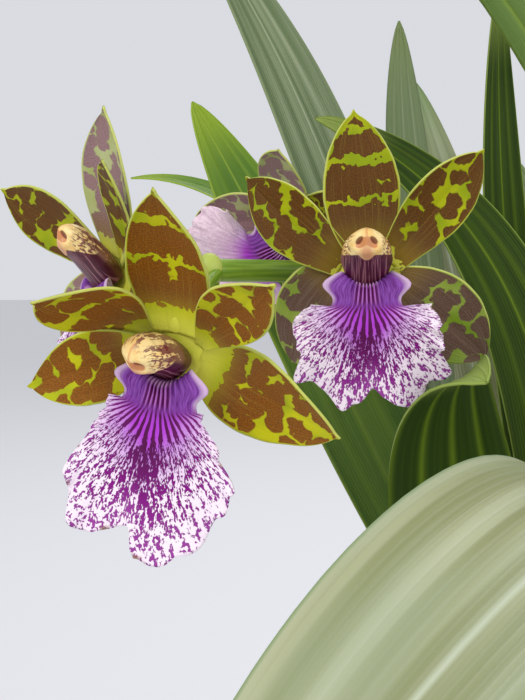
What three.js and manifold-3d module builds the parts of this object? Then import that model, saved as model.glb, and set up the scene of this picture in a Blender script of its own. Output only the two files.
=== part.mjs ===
// Zygopetalum orchid in a clay pot: ribbed bulbs in bark, strap leaves and one arching spray of blooms.
// Units are millimetres, +Z is up, and the origin is the centre of the pot's flat foot.
import * as THREE from 'three';
import { mergeVertices } from 'three/addons/utils/BufferGeometryUtils.js';
import Module from 'manifold-3d';

const wasm = await Module();
wasm.setup();

// ---- Driving dimensions ----

const GAP = 0.35;
const POT = { footR: 47, rimR: 70, height: 106, wall: 5, floor: 7, bandHeight: 24, bandOut: 3 };
const DRAIN = { r: 4.5, ring: 25, count: 4 };
const BARK = { top: 93, dome: 3, chips: 20, chip: [13, 8, 5], spread: 55, seed: 7 };
const BULB = { peg: 9, ribs: 5, ribDepth: 0.06, rows: 5, sides: 15 };
const BLADE = { leaf: 0.9, tepal: 0.9, lip: 1.0, bract: 0.9 };
const LEAF_GRID = { across: 4, along: 10, start: 0.015, early: 1.5, blunt: 0.65, fold: 0.22, pleat: 0.5 };
const LEAF_SEAT = 3.4;
const STALK = { r: 3.1, sides: 8, steps: 26 };

// Growths: where each bulb or young shoot stands, its widest radius and its height.
const GROWTHS = {
  bulb_front: { at: [14, -16], r: 14, height: 50 },
  bulb_right: { at: [33, 18], r: 13, height: 46 },
  bulb_back: { at: [-8, 30], r: 13.5, height: 48 },
  bulb_left: { at: [-32, 2], r: 13, height: 42 },
  bulb_side: { at: [42, -14], r: 12, height: 40 },
  young_shoot: { at: [27, 44], r: 9, height: 30 },
};

// Leaves by growth: length and width, compass heading (0 is +X, 90 is +Y) and lift above level, each at
// the base and at the tip, then the roll that the blade takes up on its way to the middle. A higher swing
// or bend keeps the lower part straight and turns or droops the blade nearer its tip.
const LEAVES = {
  bulb_right: {
    leaf_left_long: {
      size: [306, 34], heading: [165, 173], lift: [67, 61], roll: -59, swing: 0.8, bend: 0.8,
    },
    leaf_right_tall: {
      size: [319, 16], heading: [60, 187], lift: [77, 90], roll: -82, swing: 0.35, bend: 2,
    },
    leaf_right_arch: { size: [270, 30], heading: [-22, 32], lift: [76, -12] },
  },
  bulb_back: {
    leaf_back_grey: {
      size: [377, 28], heading: [140, 145], lift: [87, 51], roll: -34, bend: 1.25,
    },
    leaf_back_straight: {
      size: [309, 22], heading: [20, 229], lift: [70, 85], roll: 31, swing: 0.6, bend: 0.85,
    },
  },
  bulb_front: {
    leaf_front_arch: {
      size: [298, 25], heading: [84, 205], lift: [87, 14], roll: -58, swing: 1.8, bend: 3.1,
    },
    leaf_front_curl: {
      size: [226, 37], heading: [-165, -74], lift: [74, -15], roll: 31, swing: 2.1, bend: 8.8,
    },
    leaf_near: {
      size: [381, 51.7], heading: [-32, -150], lift: [87, -65], roll: 3, swing: 0.52, bend: 1.48,
    },
  },
  young_shoot: {
    leaf_far_pale: {
      size: [317, 36], heading: [45, 164], lift: [73, 77], roll: -67, swing: 0.35, bend: 1.25,
    },
    leaf_far_arch: {
      size: [355, 16], heading: [130, 153], lift: [74, -4], roll: -25, swing: 0.35, bend: 2.9,
    },
    leaf_far_right: {
      size: [297, 24], heading: [-60, 185], lift: [71, 65], roll: 66, swing: 0.65, bend: 1.2,
    },
  },
  bulb_left: {
    leaf_low_left: { size: [215, 29], heading: [160, 172], lift: [52, -66], bend: 1.3 },
    leaf_low_front: { size: [205, 28], heading: [-100, -135], lift: [54, -66], bend: 1.3 },
  },
  bulb_side: {
    leaf_top_right: {
      size: [379, 34], heading: [90, 217], lift: [87, 7], roll: 61, swing: 1.8, bend: 4.3,
    },
    leaf_side_arch: { size: [290, 30], heading: [-20, -5], lift: [76, -25] },
    leaf_side_front: { size: [230, 29], heading: [-130, -60], lift: [68, -50] },
  },
};

// The spray: from a hole in the bark, up between the leaves, then level to the left.
const SPRAY = [
  [-8, 4, 82], [-9, 4, 165], [-14, 4, 235], [-24, 6, 290], [-33, 9, 326],
  [-43, 9, 347], [-53, 1, 358.5], [-63, -12, 362.5], [-94, -36, 365],
];
const SPRAY_BRACTS = [
  { at: 0.32, length: 26, width: 11, side: 40 },
  { at: 0.58, length: 24, width: 10, side: 200 },
];

// Blooms: where each stands, how it is turned (yaw to the right, nod downwards, roll clockwise),
// where on the spray it is carried, and how its own petals and lip differ from the pattern.
const BLOOMS = {
  bloom_right: {
    at: [-53, -39, 366], yaw: -6, nod: -1, roll: -1, from: 0.84,
    dorsal: { clock: -5, length: 37, open: 80, close: 94, twist: -14, start: 0.09, blunt: 0.63 },
    petal_right: {
      clock: 39, length: 36.7, width: 15.6, open: 69, close: 88, twist: -25, sweep: 1,
      start: 0.12, early: 1.5, blunt: 0.71,
    },
    petal_left: {
      clock: -56, length: 34.4, width: 15.9, open: 69, close: 111, twist: 10, sweep: 15,
      start: 0.16, early: 1.5, blunt: 0.85,
    },
    sepal_right: {
      clock: 127, length: 36.7, width: 21.6, open: 86, close: 121, twist: -13, sweep: 9,
      start: 0.04, early: 1.02, blunt: 0.75,
    },
    sepal_left: { clock: -137, length: 32, width: 22, open: 92, close: 138, sweep: -20 },
    lip: {
      margin: [
        [-95, 5], [-66, 13.5], [-48, 16.3], [-37, 23.2], [-28, 21.6], [-12, 26.2], [-5, 25], [3, 19.6],
        [9, 23.6], [21, 26.9], [31, 23.1], [45, 23.8], [50, 17.5], [68, 12.4], [95, 7],
      ],
    },
    column: {},
  },
  bloom_front: {
    at: [-99, -80, 351], yaw: -21, nod: 19, roll: 9, from: 0.99,
    dorsal: {
      clock: -1, length: 37.4, width: 20.2, open: 94, close: 59, twist: 12, start: 0.17,
      early: 1.16, blunt: 0.84,
    },
    petal_right: {
      clock: 34, length: 37.3, width: 14.2, open: 63, close: 65, twist: -2, sweep: 11,
      start: 0.05, early: 1.34, blunt: 0.85,
    },
    petal_left: {
      clock: -36, length: 31.2, width: 20.5, open: 69, close: 20, twist: 0, sweep: -15,
      start: 0.04, early: 1.4, blunt: 0.85,
    },
    sepal_right: {
      clock: 111, length: 36, width: 24.2, open: 92, close: 66, twist: -25, sweep: -15,
      start: 0.04, early: 0.91,
    },
    sepal_left: {
      clock: -104, length: 31.1, width: 16.6, open: 55, close: 90, twist: -25, sweep: -15,
      start: 0.09, early: 1, blunt: 0.83,
    },
    lip: {
      low: -7, rise: 20, faceFall: 62, fall: 62,
      margin: [
        [-95, 3], [-72, 5], [-62, 8.5], [-54, 9.7], [-38, 22.5], [-22, 32.3], [-11, 28.4], [-1, 24.8],
        [3, 32], [9, 33], [20, 30.8], [40, 23.8], [51, 20.8], [59, 13], [78, 3], [95, 1.5],
      ],
    },
    column: { rise: [50, -8], turn: 18, length: 15 },
  },
  bloom_left: {
    at: [-118, -35, 365], yaw: -56, nod: 5, roll: 1, from: 1,
    dorsal: {
      clock: 21, length: 40.5, width: 23.4, open: 86, close: 78, twist: -9, sweep: -7,
      start: 0.11, early: 1.02, blunt: 0.8,
    },
    petal_right: { clock: 38, open: 77, close: 58, twist: -7 },
    petal_left: {
      length: 36.5, width: 18.5, open: 64, close: 52, twist: -5, sweep: -3, start: 0.13,
      early: 1.5, blunt: 0.75,
    },
    sepal_right: { clock: 121, length: 33.5, open: 76, close: 68, twist: -6 },
    sepal_left: {
      clock: -139, length: 35, width: 20.7, open: 75, close: 88, twist: 12, sweep: -8,
      start: 0.04, early: 0.97, blunt: 0.64,
    },
    lip: {
      ear: 1, faceFall: 80,
      margin: [[-95, 5], [-60, 14], [-35, 19], [-15, 21], [0, 17], [15, 21], [35, 19], [60, 14], [95, 5]],
    },
    column: { rise: [57, 38], length: 20 },
  },
  bloom_back: {
    at: [-69, 12, 373], yaw: -32, nod: 24, roll: 66, from: 0.72,
    dorsal: { clock: -3, open: 66, close: 80 },
    petal_right: { clock: 30, length: 30, open: 112, close: 106 },
    petal_left: { length: 34, open: 64, close: 60, early: 1.4, blunt: 0.55 },
    sepal_right: { clock: 112, open: 100, close: 96 },
    sepal_left: { clock: -154, length: 33, open: 90, close: 80 },
    lip: {
      margin: [[-95, 10], [-60, 19], [-35, 23], [-15, 24], [0, 19], [15, 22], [30, 15], [60, 9], [95, 4]],
    },
    column: {},
  },
};

// The pattern that every bloom follows: clock is the direction seen from the front (0 is up),
// open and close are the angles from the bloom's facing direction at the base and at the tip.
const TEPALS = {
  dorsal: {
    clock: -4, seat: 0, seatR: 3, length: 38, width: 19.5, start: 0.15, early: 1.0, blunt: 0.72,
    open: 84, close: 100, cup: 0.22, twist: 0, sweep: 0,
  },
  petal_right: {
    clock: 37, seat: 80, seatR: 6, length: 38, width: 16.5, start: 0.09, early: 1.15, blunt: 0.66,
    open: 79, close: 92, cup: 0.15, twist: -8, sweep: 0,
  },
  petal_left: {
    clock: -44, seat: -80, seatR: 6, length: 36, width: 16.5, start: 0.09, early: 1.15, blunt: 0.66,
    open: 72, close: 88, cup: 0.15, twist: 8, sweep: 0,
  },
  sepal_right: {
    clock: 121, seat: 110, seatR: 6, length: 33, width: 21, start: 0.12, early: 0.9, blunt: 0.62,
    open: 88, close: 112, cup: 0.2, twist: 0, sweep: 0,
  },
  sepal_left: {
    clock: -121, seat: -110, seatR: 6, length: 33, width: 21, start: 0.12, early: 0.9, blunt: 0.62,
    open: 88, close: 112, cup: 0.2, twist: 0, sweep: 0,
  },
};
const LIP = {
  front: 2.3, low: -6.2, crest: 6.6, rise: 20, face: 6, faceFall: 66, fall: 89,
  baseHalf: 4.5, waistHalf: 9, horns: 3.6, back: 2.5, ear: 4, earAt: 2.2, earLong: 1.5,
  earCurl: 0.8, spread: 95, ruffle: 1.6, ruffleWaves: 7,
};
const COLUMN = {
  front: 1.8, low: -2.2, length: 17.5, rise: [50, 26], turn: 0, dome: 0.84,
  at: [0, 0.35, 0.7, 0.84, 1], half: [5.3, 6.6, 5.8, 4.8, 3.4], over: [3.2, 3.7, 3.6, 3, 2.2],
  under: [2.9, 3.6, 4.3, 3.9, 2.6],
};
const LIP_GRID = { across: 22, along: 9, callus: 4 / 9 };
const RECEPTACLE = { r: 8, back: -1, front: 1.2, sides: 16 };
const OVARY = { length: 17, neck: 1.6, belly: 2.7, sides: 7, rows: 6 };

// ---- Small helpers ----

const rad = THREE.MathUtils.degToRad;
const vec = (x, y, z) => new THREE.Vector3(x, y, z);

function mix(a, b, t) {
  return a + (b - a) * t;
}

// A rounded hump of 1 at its centre.
function bump(value, centre, width) {
  return Math.exp(-(((value - centre) / width) ** 2));
}

// The direction a, turned towards b by an angle.
function turned(a, b, angle) {
  return a.clone().multiplyScalar(Math.cos(angle)).addScaledVector(b, Math.sin(angle));
}

// Piecewise straight curve through the values at the given stations.
function along(stations, values, s) {
  const last = stations.findIndex((station) => station >= s);
  if (last <= 0) {
    return values[0];
  }
  const t = (s - stations[last - 1]) / (stations[last] - stations[last - 1]);
  return mix(values[last - 1], values[last], t);
}

// Half of a blade's width, as a share of its widest, s being 0 at the base and 1 at the tip.
function bladeOutline(s, start, early, blunt) {
  const sine = Math.sin(Math.PI * (start + (1 - start) * s ** early));
  return Math.max(sine, 0) ** blunt;
}

// Repeatable random numbers between 0 and 1.
function randomFrom(seed) {
  let state = seed;
  return () => {
    state = (state * 16807) % 2147483647;
    return state / 2147483647;
  };
}

// Walks a line whose direction changes along its length and returns its point at any share s.
function spine(origin, length, direction, steps = 48) {
  const points = [origin.clone()];
  for (let i = 0; i < steps; i += 1) {
    const step = direction((i + 0.5) / steps).multiplyScalar(length / steps);
    points.push(points[i].clone().add(step));
  }
  return (s) => {
    const place = Math.min(Math.max(s, 0), 1) * steps;
    const i = Math.min(Math.floor(place), steps - 1);
    return points[i].clone().lerp(points[i + 1], place - i);
  };
}

// ---- Solids ----

// Joins shared corners, drops empty triangles and turns the faces outwards.
function solid(geometry) {
  const bare = geometry.clone();
  bare.deleteAttribute('normal');
  bare.deleteAttribute('uv');
  const welded = mergeVertices(bare, 1e-4);
  const corners = welded.attributes.position;
  const triangles = [];
  let volume = 0;
  for (let i = 0; i < welded.index.count; i += 3) {
    const [a, b, c] = [0, 1, 2].map((k) => welded.index.getX(i + k));
    if (a !== b && b !== c && c !== a) {
      triangles.push(a, b, c);
      const [p, q, r] = [a, b, c].map((k) => vec(0, 0, 0).fromBufferAttribute(corners, k));
      volume += p.dot(q.cross(r));
    }
  }
  if (volume < 0) {
    triangles.reverse();
  }
  const mesh = new wasm.Mesh({
    numProp: 3,
    vertProperties: Float32Array.from(corners.array),
    triVerts: Uint32Array.from(triangles),
  });
  return new wasm.Manifold(mesh);
}

function join(solids) {
  return solids.reduce((whole, next) => whole.add(next));
}

function geometryOf(body) {
  const { vertProperties, triVerts } = body.getMesh();
  const geometry = new THREE.BufferGeometry();
  geometry.setAttribute('position', new THREE.BufferAttribute(vertProperties, 3));
  geometry.setIndex(new THREE.BufferAttribute(triVerts, 1));
  geometry.computeVertexNormals();
  return geometry;
}

// A thin closed sheet. surface(u, s, face) gives its corner, u from -1 to 1 across, s from 0 to 1 along,
// and face 1 on the front and -1 on the back. Both faces are split along the same diagonals.
function sheet(across, lengthwise, surface) {
  const box = new THREE.BoxGeometry(2, 1, 2, across, lengthwise, 1);
  const back = box.groups[5];
  for (let i = back.start; i < back.start + back.count; i += 6) {
    const [a, b, d, , c] = [0, 1, 2, 3, 4].map((k) => box.index.getX(i + k));
    [a, b, c, a, c, d].forEach((corner, k) => box.index.setX(i + k, corner));
  }
  const corners = box.attributes.position;
  for (let i = 0; i < corners.count; i += 1) {
    const p = surface(corners.getX(i), corners.getY(i) + 0.5, corners.getZ(i));
    corners.setXYZ(i, p.x, p.y, p.z);
  }
  return solid(box);
}

// A closed round stem of one thickness along a curve.
function stem(curve, radius, steps) {
  const round = new THREE.Shape().absarc(0, 0, radius, 0, 2 * Math.PI);
  const curveSegments = STALK.sides / 2;
  const options = { steps, curveSegments, bevelEnabled: false, extrudePath: curve };
  return solid(new THREE.ExtrudeGeometry(round, options));
}

// A closed round bar along a curve, radius(s) thick.
function bar(curve, radius, sides, rows) {
  const rod = new THREE.CylinderGeometry(1, 1, 1, sides, rows);
  const frames = curve.computeFrenetFrames(rows);
  const corners = rod.attributes.position;
  for (let i = 0; i < corners.count; i += 1) {
    const s = corners.getY(i) + 0.5;
    const row = Math.round(s * rows);
    const p = curve.getPointAt(s)
      .addScaledVector(frames.normals[row], corners.getX(i) * radius(s))
      .addScaledVector(frames.binormals[row], corners.getZ(i) * radius(s));
    corners.setXYZ(i, p.x, p.y, p.z);
  }
  return solid(rod);
}

// ---- Pot and bark ----

// The pot's inner radius at a height.
function potBore(z) {
  return mix(POT.footR, POT.rimR - POT.bandOut, z / POT.height) - POT.wall;
}

function pot() {
  const bandBase = POT.height - POT.bandHeight;
  const outer = (z) => mix(POT.footR, POT.rimR - POT.bandOut, z / POT.height);
  const profile = [
    [0, 0], [POT.footR - 2, 0], [outer(2), 2], [outer(bandBase), bandBase],
    [outer(bandBase) + POT.bandOut, bandBase + 2], [POT.rimR - 1, POT.height - 1.5],
    [POT.rimR - 2.5, POT.height],
    [potBore(POT.height) + 1.5, POT.height], [potBore(POT.height - 3), POT.height - 3],
    [potBore(POT.floor), POT.floor], [0, POT.floor],
  ].map(([r, z]) => new THREE.Vector2(r, z));
  const body = solid(new THREE.LatheGeometry(profile, 36).rotateX(Math.PI / 2));
  const drains = Array.from({ length: DRAIN.count }, (_, i) => {
    const turn = ((i + 0.5) / DRAIN.count) * 2 * Math.PI;
    const hole = new THREE.CylinderGeometry(DRAIN.r, DRAIN.r, 3 * POT.floor, 12).rotateX(Math.PI / 2);
    hole.translate(DRAIN.ring * Math.cos(turn), DRAIN.ring * Math.sin(turn), POT.floor / 2);
    return solid(hole);
  });
  return body.subtract(join(drains));
}

// Bark fills the pot to a low dome, with rough chips half sunk in its top.
function bark() {
  const random = randomFrom(BARK.seed);
  const low = POT.floor + GAP;
  const bore = (z) => potBore(z) - GAP;
  const profile = [
    [0, low], [bore(low), low], [bore(BARK.top), BARK.top],
    [bore(BARK.top) * 0.6, BARK.top + BARK.dome * 0.7], [0, BARK.top + BARK.dome],
  ].map(([r, z]) => new THREE.Vector2(r, z));
  const body = solid(new THREE.LatheGeometry(profile, 36).rotateX(Math.PI / 2));
  const chips = Array.from({ length: BARK.chips }, (_, i) => {
    const r = (BARK.spread - BARK.chip[0] / 2) * Math.sqrt((i + 0.5) / BARK.chips);
    const turn = i * rad(137.5);
    const size = BARK.chip.map((side) => side * mix(0.75, 1.2, random()));
    const chip = new THREE.BoxGeometry(...size);
    chip.rotateX(rad(mix(-25, 25, random())));
    chip.rotateY(rad(mix(-25, 25, random())));
    chip.rotateZ(2 * Math.PI * random());
    const height = BARK.top + BARK.dome * (1 - r / BARK.spread) + 1;
    chip.translate(r * Math.cos(turn), r * Math.sin(turn), height);
    return solid(chip);
  });
  return join([body, ...chips]);
}

// ---- Growths ----

// A ribbed bulb on a short peg; grow widens it all round, for the hole that it stands in.
function bulb({ at, r, height }, grow = 0) {
  const foot = BARK.top + BARK.dome;
  const low = foot - BULB.peg - grow;
  const profile = [vec(0, low, 0), vec(bulbRadius(0, r) + grow, low, 0)];
  for (let i = 0; i <= BULB.rows; i += 1) {
    const t = i / BULB.rows;
    profile.push(vec(bulbRadius(t, r) + grow, foot + height * t + grow * t, 0));
  }
  profile.push(vec(0, foot + height + grow, 0));
  const body = new THREE.LatheGeometry(profile, BULB.sides).rotateX(Math.PI / 2);
  const corners = body.attributes.position;
  for (let i = 0; i < corners.count; i += 1) {
    const [x, y, z] = [corners.getX(i), corners.getY(i), corners.getZ(i)];
    const t = THREE.MathUtils.clamp((z - foot) / height, 0, 1);
    const rib = 1 + BULB.ribDepth * Math.sin(Math.PI * t) * Math.cos(BULB.ribs * Math.atan2(y, x));
    corners.setXYZ(i, x * rib, y * rib, z);
  }
  body.translate(at[0], at[1], 0);
  return solid(body);
}

function bulbRadius(t, r) {
  return r * Math.sin(Math.PI * mix(0.13, 0.9, t)) ** 0.85;
}

// ---- Leaves ----

function leaf(growth, { size, heading, lift, roll = 0, swing = 1, bend = 1.6 }) {
  const [length, width] = size;
  const up = vec(0, 0, 1);
  const turn = (s) => rad(mix(heading[0], heading[1], s ** swing));
  const rise = (s) => rad(mix(lift[0], lift[1], s ** bend));
  const ahead = (s) => vec(Math.cos(turn(s)), Math.sin(turn(s)), 0);
  const direction = (s) => turned(ahead(s), up, rise(s));
  const base = vec(growth.at[0], growth.at[1], BARK.top + BARK.dome + growth.height + 2 * GAP);
  const middle = spine(base.addScaledVector(ahead(0), LEAF_SEAT), length, direction);
  return sheet(LEAF_GRID.across, LEAF_GRID.along, (u, s, face) => {
    const share = bladeOutline(s, LEAF_GRID.start, LEAF_GRID.early, LEAF_GRID.blunt);
    const half = Math.max((width / 2) * share, 0.7);
    const flatSide = vec(-Math.sin(turn(s)), Math.cos(turn(s)), 0);
    const flatNormal = turned(up, ahead(s), -rise(s));
    const lean = rad(roll) * THREE.MathUtils.smoothstep(s, 0.1, 0.5);
    const pleat = (LEAF_GRID.pleat * Math.sin(Math.PI * s) * (1 - Math.cos(2 * Math.PI * u))) / 2;
    const lifted = LEAF_GRID.fold * half * Math.abs(u) - pleat + (face * BLADE.leaf) / 2;
    return middle(s).addScaledVector(turned(flatSide, flatNormal, lean), u * half)
      .addScaledVector(turned(flatNormal, flatSide, -lean), lifted);
  });
}

// ---- Blooms ----

// In a bloom's own frame x is to the right, -y is the way it faces and z is up.
const FORWARD = vec(0, -1, 0);
const UP = vec(0, 0, 1);

// One sepal or petal.
function tepal(p) {
  const clock = rad(p.clock);
  const outward = vec(Math.sin(clock), 0, Math.cos(clock));
  const sideways = vec(Math.cos(clock), 0, -Math.sin(clock));
  const base = vec(Math.sin(rad(p.seat)), 0, Math.cos(rad(p.seat))).multiplyScalar(p.seatR);
  const opening = (s) => rad(mix(p.open, p.close, s));
  const direction = (s) => turned(FORWARD, outward, opening(s))
    .addScaledVector(sideways, Math.tan(rad(p.sweep)) * s);
  const middle = spine(base, p.length, direction);
  return sheet(4, 6, (u, s, face) => {
    const half = Math.max((p.width / 2) * bladeOutline(s, p.start, p.early, p.blunt), 0.6);
    const flatNormal = turned(outward.clone().negate(), FORWARD, opening(s));
    const twist = rad(p.twist) * s;
    const lifted = p.cup * half * u * u + (face * BLADE.tepal) / 2;
    return middle(s).addScaledVector(turned(sideways, flatNormal, twist), u * half)
      .addScaledVector(turned(flatNormal, sideways, -twist), lifted);
  });
}

// How far the lip's blade reaches at an angle in degrees, eased from one chosen point to the next.
function bladeReach(angle, margin) {
  const next = Math.max(1, margin.findIndex((point) => angle <= point[0] + 1e-6));
  const [from, to] = [margin[next - 1], margin[next]];
  return mix(from[1], to[1], THREE.MathUtils.smoothstep(angle, from[0], to[0]));
}

// The lip: a callus that rises to a crest and falls to a waist with an ear on each side, then a broad
// blade with a lobed, ruffled margin.
function lip(p) {
  const waist = p.crest + p.face;
  const reach = waist + 36;
  const slope = (run) => {
    const risen = mix(p.rise, -p.faceFall, THREE.MathUtils.smoothstep(run, p.crest - 1.8, p.crest + 1.8));
    return rad(mix(risen, -p.fall, THREE.MathUtils.smoothstep(run, waist - 2, waist + 8)));
  };
  const middle = spine(vec(0, -p.front, p.low), reach, (s) => turned(FORWARD, UP, slope(s * reach)), 120);
  return sheet(LIP_GRID.across, LIP_GRID.along, (u, s, face) => {
    const { x, run, r, raised, forward } = s < LIP_GRID.callus
      ? callusPoint(p, u, s / LIP_GRID.callus, waist)
      : bladePoint(p, u, (s - LIP_GRID.callus) / (1 - LIP_GRID.callus), waist);
    const point = middle(run / reach).add(vec(x, 0, 0));
    const back = p.back * THREE.MathUtils.smoothstep(run, 0, p.crest)
      * (1 - THREE.MathUtils.smoothstep(r, 0, 10));
    point.addScaledVector(UP, p.horns * u * u * bump(run, p.crest, 3.2));
    point.addScaledVector(FORWARD, forward - back * u * u);
    point.addScaledVector(turned(UP, FORWARD, -slope(run)), raised + (face * BLADE.lip) / 2);
    point.y = Math.min(point.y, -p.front);
    return point;
  });
}

// Across, along and above the lip's middle line, t being 0 at the callus's foot and 1 at the waist.
function callusPoint(p, u, t, waist) {
  const run = t * waist;
  const ear = bump(run, p.crest + p.earAt, p.earLong);
  return {
    x: u * mix(p.baseHalf, p.waistHalf, t ** 1.5) + Math.sign(u) * p.ear * ear * u ** 4,
    run,
    r: 0,
    raised: 0,
    forward: p.earCurl * ear * u ** 6,
  };
}

// The same on the blade, t being 0 at the waist and 1 at the margin.
function bladePoint(p, u, t, waist) {
  const angle = u * rad(p.spread);
  const r = bladeReach(u * p.spread, p.margin) * t;
  return {
    x: u * p.waistHalf + r * Math.sin(angle),
    run: waist + r * Math.cos(angle),
    r,
    raised: p.ruffle * t * t * Math.sin(p.ruffleWaves * angle + 0.6),
    forward: 0,
  };
}

// The column: an arched bar with a broad hood that ends in a dome, flat where it meets the receptacle.
function column(p) {
  const side = vec(Math.cos(rad(p.turn)), -Math.sin(rad(p.turn)), 0);
  const ahead = vec(-Math.sin(rad(p.turn)), -Math.cos(rad(p.turn)), 0);
  const rise = (s) => rad(mix(p.rise[0], p.rise[1], s));
  const top = (s) => turned(UP, ahead, -rise(s));
  const middle = spine(vec(0, -p.front, p.low), p.length, (s) => turned(ahead, UP, rise(s)));
  const rod = new THREE.CylinderGeometry(1, 1, 1, 12, 9);
  const corners = rod.attributes.position;
  for (let i = 0; i < corners.count; i += 1) {
    const s = (corners.getY(i) + 0.5) * 0.98;
    const round = Math.sqrt(1 - Math.max(0, (s - p.dome) / (1 - p.dome)) ** 2);
    const across = corners.getX(i) * along(p.at, p.half, s) * round;
    const height = corners.getZ(i) * along(p.at, corners.getZ(i) > 0 ? p.over : p.under, s) * round;
    const point = middle(s).addScaledVector(side, across).addScaledVector(top(s), height);
    corners.setXYZ(i, point.x, Math.min(point.y, -RECEPTACLE.front - GAP), point.z);
  }
  return solid(rod);
}

function receptacle() {
  const thick = RECEPTACLE.front - RECEPTACLE.back;
  const disc = new THREE.CylinderGeometry(RECEPTACLE.r - 1.5, RECEPTACLE.r, thick, RECEPTACLE.sides);
  disc.translate(0, -(RECEPTACLE.front + RECEPTACLE.back) / 2, 0);
  return solid(disc);
}

// How a bloom's own frame sits in the plant.
function bloomPlace({ at, yaw, nod, roll }) {
  return new THREE.Matrix4().makeRotationZ(rad(yaw))
    .multiply(new THREE.Matrix4().makeRotationX(rad(nod)))
    .multiply(new THREE.Matrix4().makeRotationY(rad(roll)))
    .setPosition(...at);
}

// ---- The spray's stalk ----

// One fused stalk: the main stem, its bracts, and a short stalk with a swollen ovary behind each bloom.
function stalk() {
  const main = new THREE.CatmullRomCurve3(SPRAY.map((point) => vec(...point)));
  const parts = [stem(main, STALK.r, STALK.steps)];
  SPRAY_BRACTS.forEach((bract) => parts.push(claspingBract(main, bract)));
  Object.values(BLOOMS).forEach((bloom) => {
    const place = bloomPlace(bloom);
    const back = (distance) => vec(0, distance, 0).applyMatrix4(place);
    const joint = main.getPointAt(bloom.from);
    const way = main.getTangentAt(bloom.from);
    const path = new THREE.CatmullRomCurve3([
      joint,
      joint.clone().addScaledVector(way, 4).lerp(back(OVARY.length), 0.4),
      back(OVARY.length * 0.75),
      back(OVARY.length * 0.4),
      back(-RECEPTACLE.back + GAP),
    ]);
    const radius = (s) => mix(OVARY.neck, OVARY.belly, THREE.MathUtils.smoothstep(s, 0.3, 0.85));
    parts.push(bar(path, radius, OVARY.sides, OVARY.rows));
  });
  return join(parts);
}

// A pointed bract that wraps half of the stem and stands off it at the tip.
function claspingBract(main, { at, length, width, side }) {
  const base = main.getPointAt(at);
  const way = main.getTangentAt(at);
  const out = vec(Math.cos(rad(side)), Math.sin(rad(side)), 0).projectOnPlane(way).normalize();
  const across = way.clone().cross(out);
  return sheet(4, 5, (u, s, face) => {
    const wrap = u * mix(1.5, 0.9, s);
    const r = STALK.r + face * (BLADE.bract / 2) + 3 * s * s - 0.2;
    const half = Math.max(bladeOutline(s, 0.35, 1, 0.8), 0.1);
    return base.clone().addScaledVector(way, s * length)
      .addScaledVector(out, r * Math.cos(wrap * half))
      .addScaledVector(across, (r + width * 0.1) * Math.sin(wrap * half));
  });
}

// ---- Materials ----

const LOOKS = {
  clay: { color: 0xb5714a, roughness: 0.85 },
  bark: { color: 0x5a3d28, roughness: 0.95 },
  bulb: { color: 0x8a9a4a, roughness: 0.55 },
  leaf: { color: 0x4f6b24, roughness: 0.45 },
  stalk: { color: 0x6f7d2c, roughness: 0.5 },
  tepal: { color: 0x7a6a18, roughness: 0.5 },
  lip: { color: 0xb98ac0, roughness: 0.6 },
  column: { color: 0xd9b48a, roughness: 0.5 },
};

function piece(name, look, body) {
  const material = new THREE.MeshStandardMaterial({ ...LOOKS[look], metalness: 0 });
  const mesh = new THREE.Mesh(geometryOf(body), material);
  mesh.name = name;
  return mesh;
}

// ---- Assembly ----

const plant = new THREE.Group();
plant.add(piece('pot', 'clay', pot()));

// The bark has a hole for each growth and for the foot of the spray's stalk.
const holes = Object.values(GROWTHS).map((growth) => bulb(growth, GAP));
const foot = SPRAY.slice(0, 3).map((point) => vec(...point));
foot[0].z -= GAP;
holes.push(stem(new THREE.CatmullRomCurve3(foot), STALK.r + GAP, 12));
plant.add(piece('bark', 'bark', bark().subtract(join(holes))));

Object.entries(GROWTHS).forEach(([name, growth]) => plant.add(piece(name, 'bulb', bulb(growth))));
Object.entries(LEAVES).forEach(([growth, blades]) => {
  Object.entries(blades).forEach(([name, blade]) => {
    plant.add(piece(name, 'leaf', leaf(GROWTHS[growth], blade)));
  });
});
plant.add(piece('spray_stalk', 'stalk', stalk()));

Object.entries(BLOOMS).forEach(([name, bloom]) => {
  const bloomGroup = new THREE.Group();
  bloomGroup.applyMatrix4(bloomPlace(bloom));
  const blades = Object.entries(TEPALS).map(([key, pattern]) => tepal({ ...pattern, ...bloom[key] }));
  bloomGroup.add(piece(`${name}_tepals`, 'tepal', join([receptacle(), ...blades])));
  bloomGroup.add(piece(`${name}_lip`, 'lip', lip({ ...LIP, ...bloom.lip })));
  bloomGroup.add(piece(`${name}_column`, 'column', column({ ...COLUMN, ...bloom.column })));
  plant.add(bloomGroup);
});

export default plant;
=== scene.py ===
import math
import random

import bmesh
import bpy
from bpy.props import FloatProperty, FloatVectorProperty, IntProperty, PointerProperty
from mathutils import Matrix, Vector, noise


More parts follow.
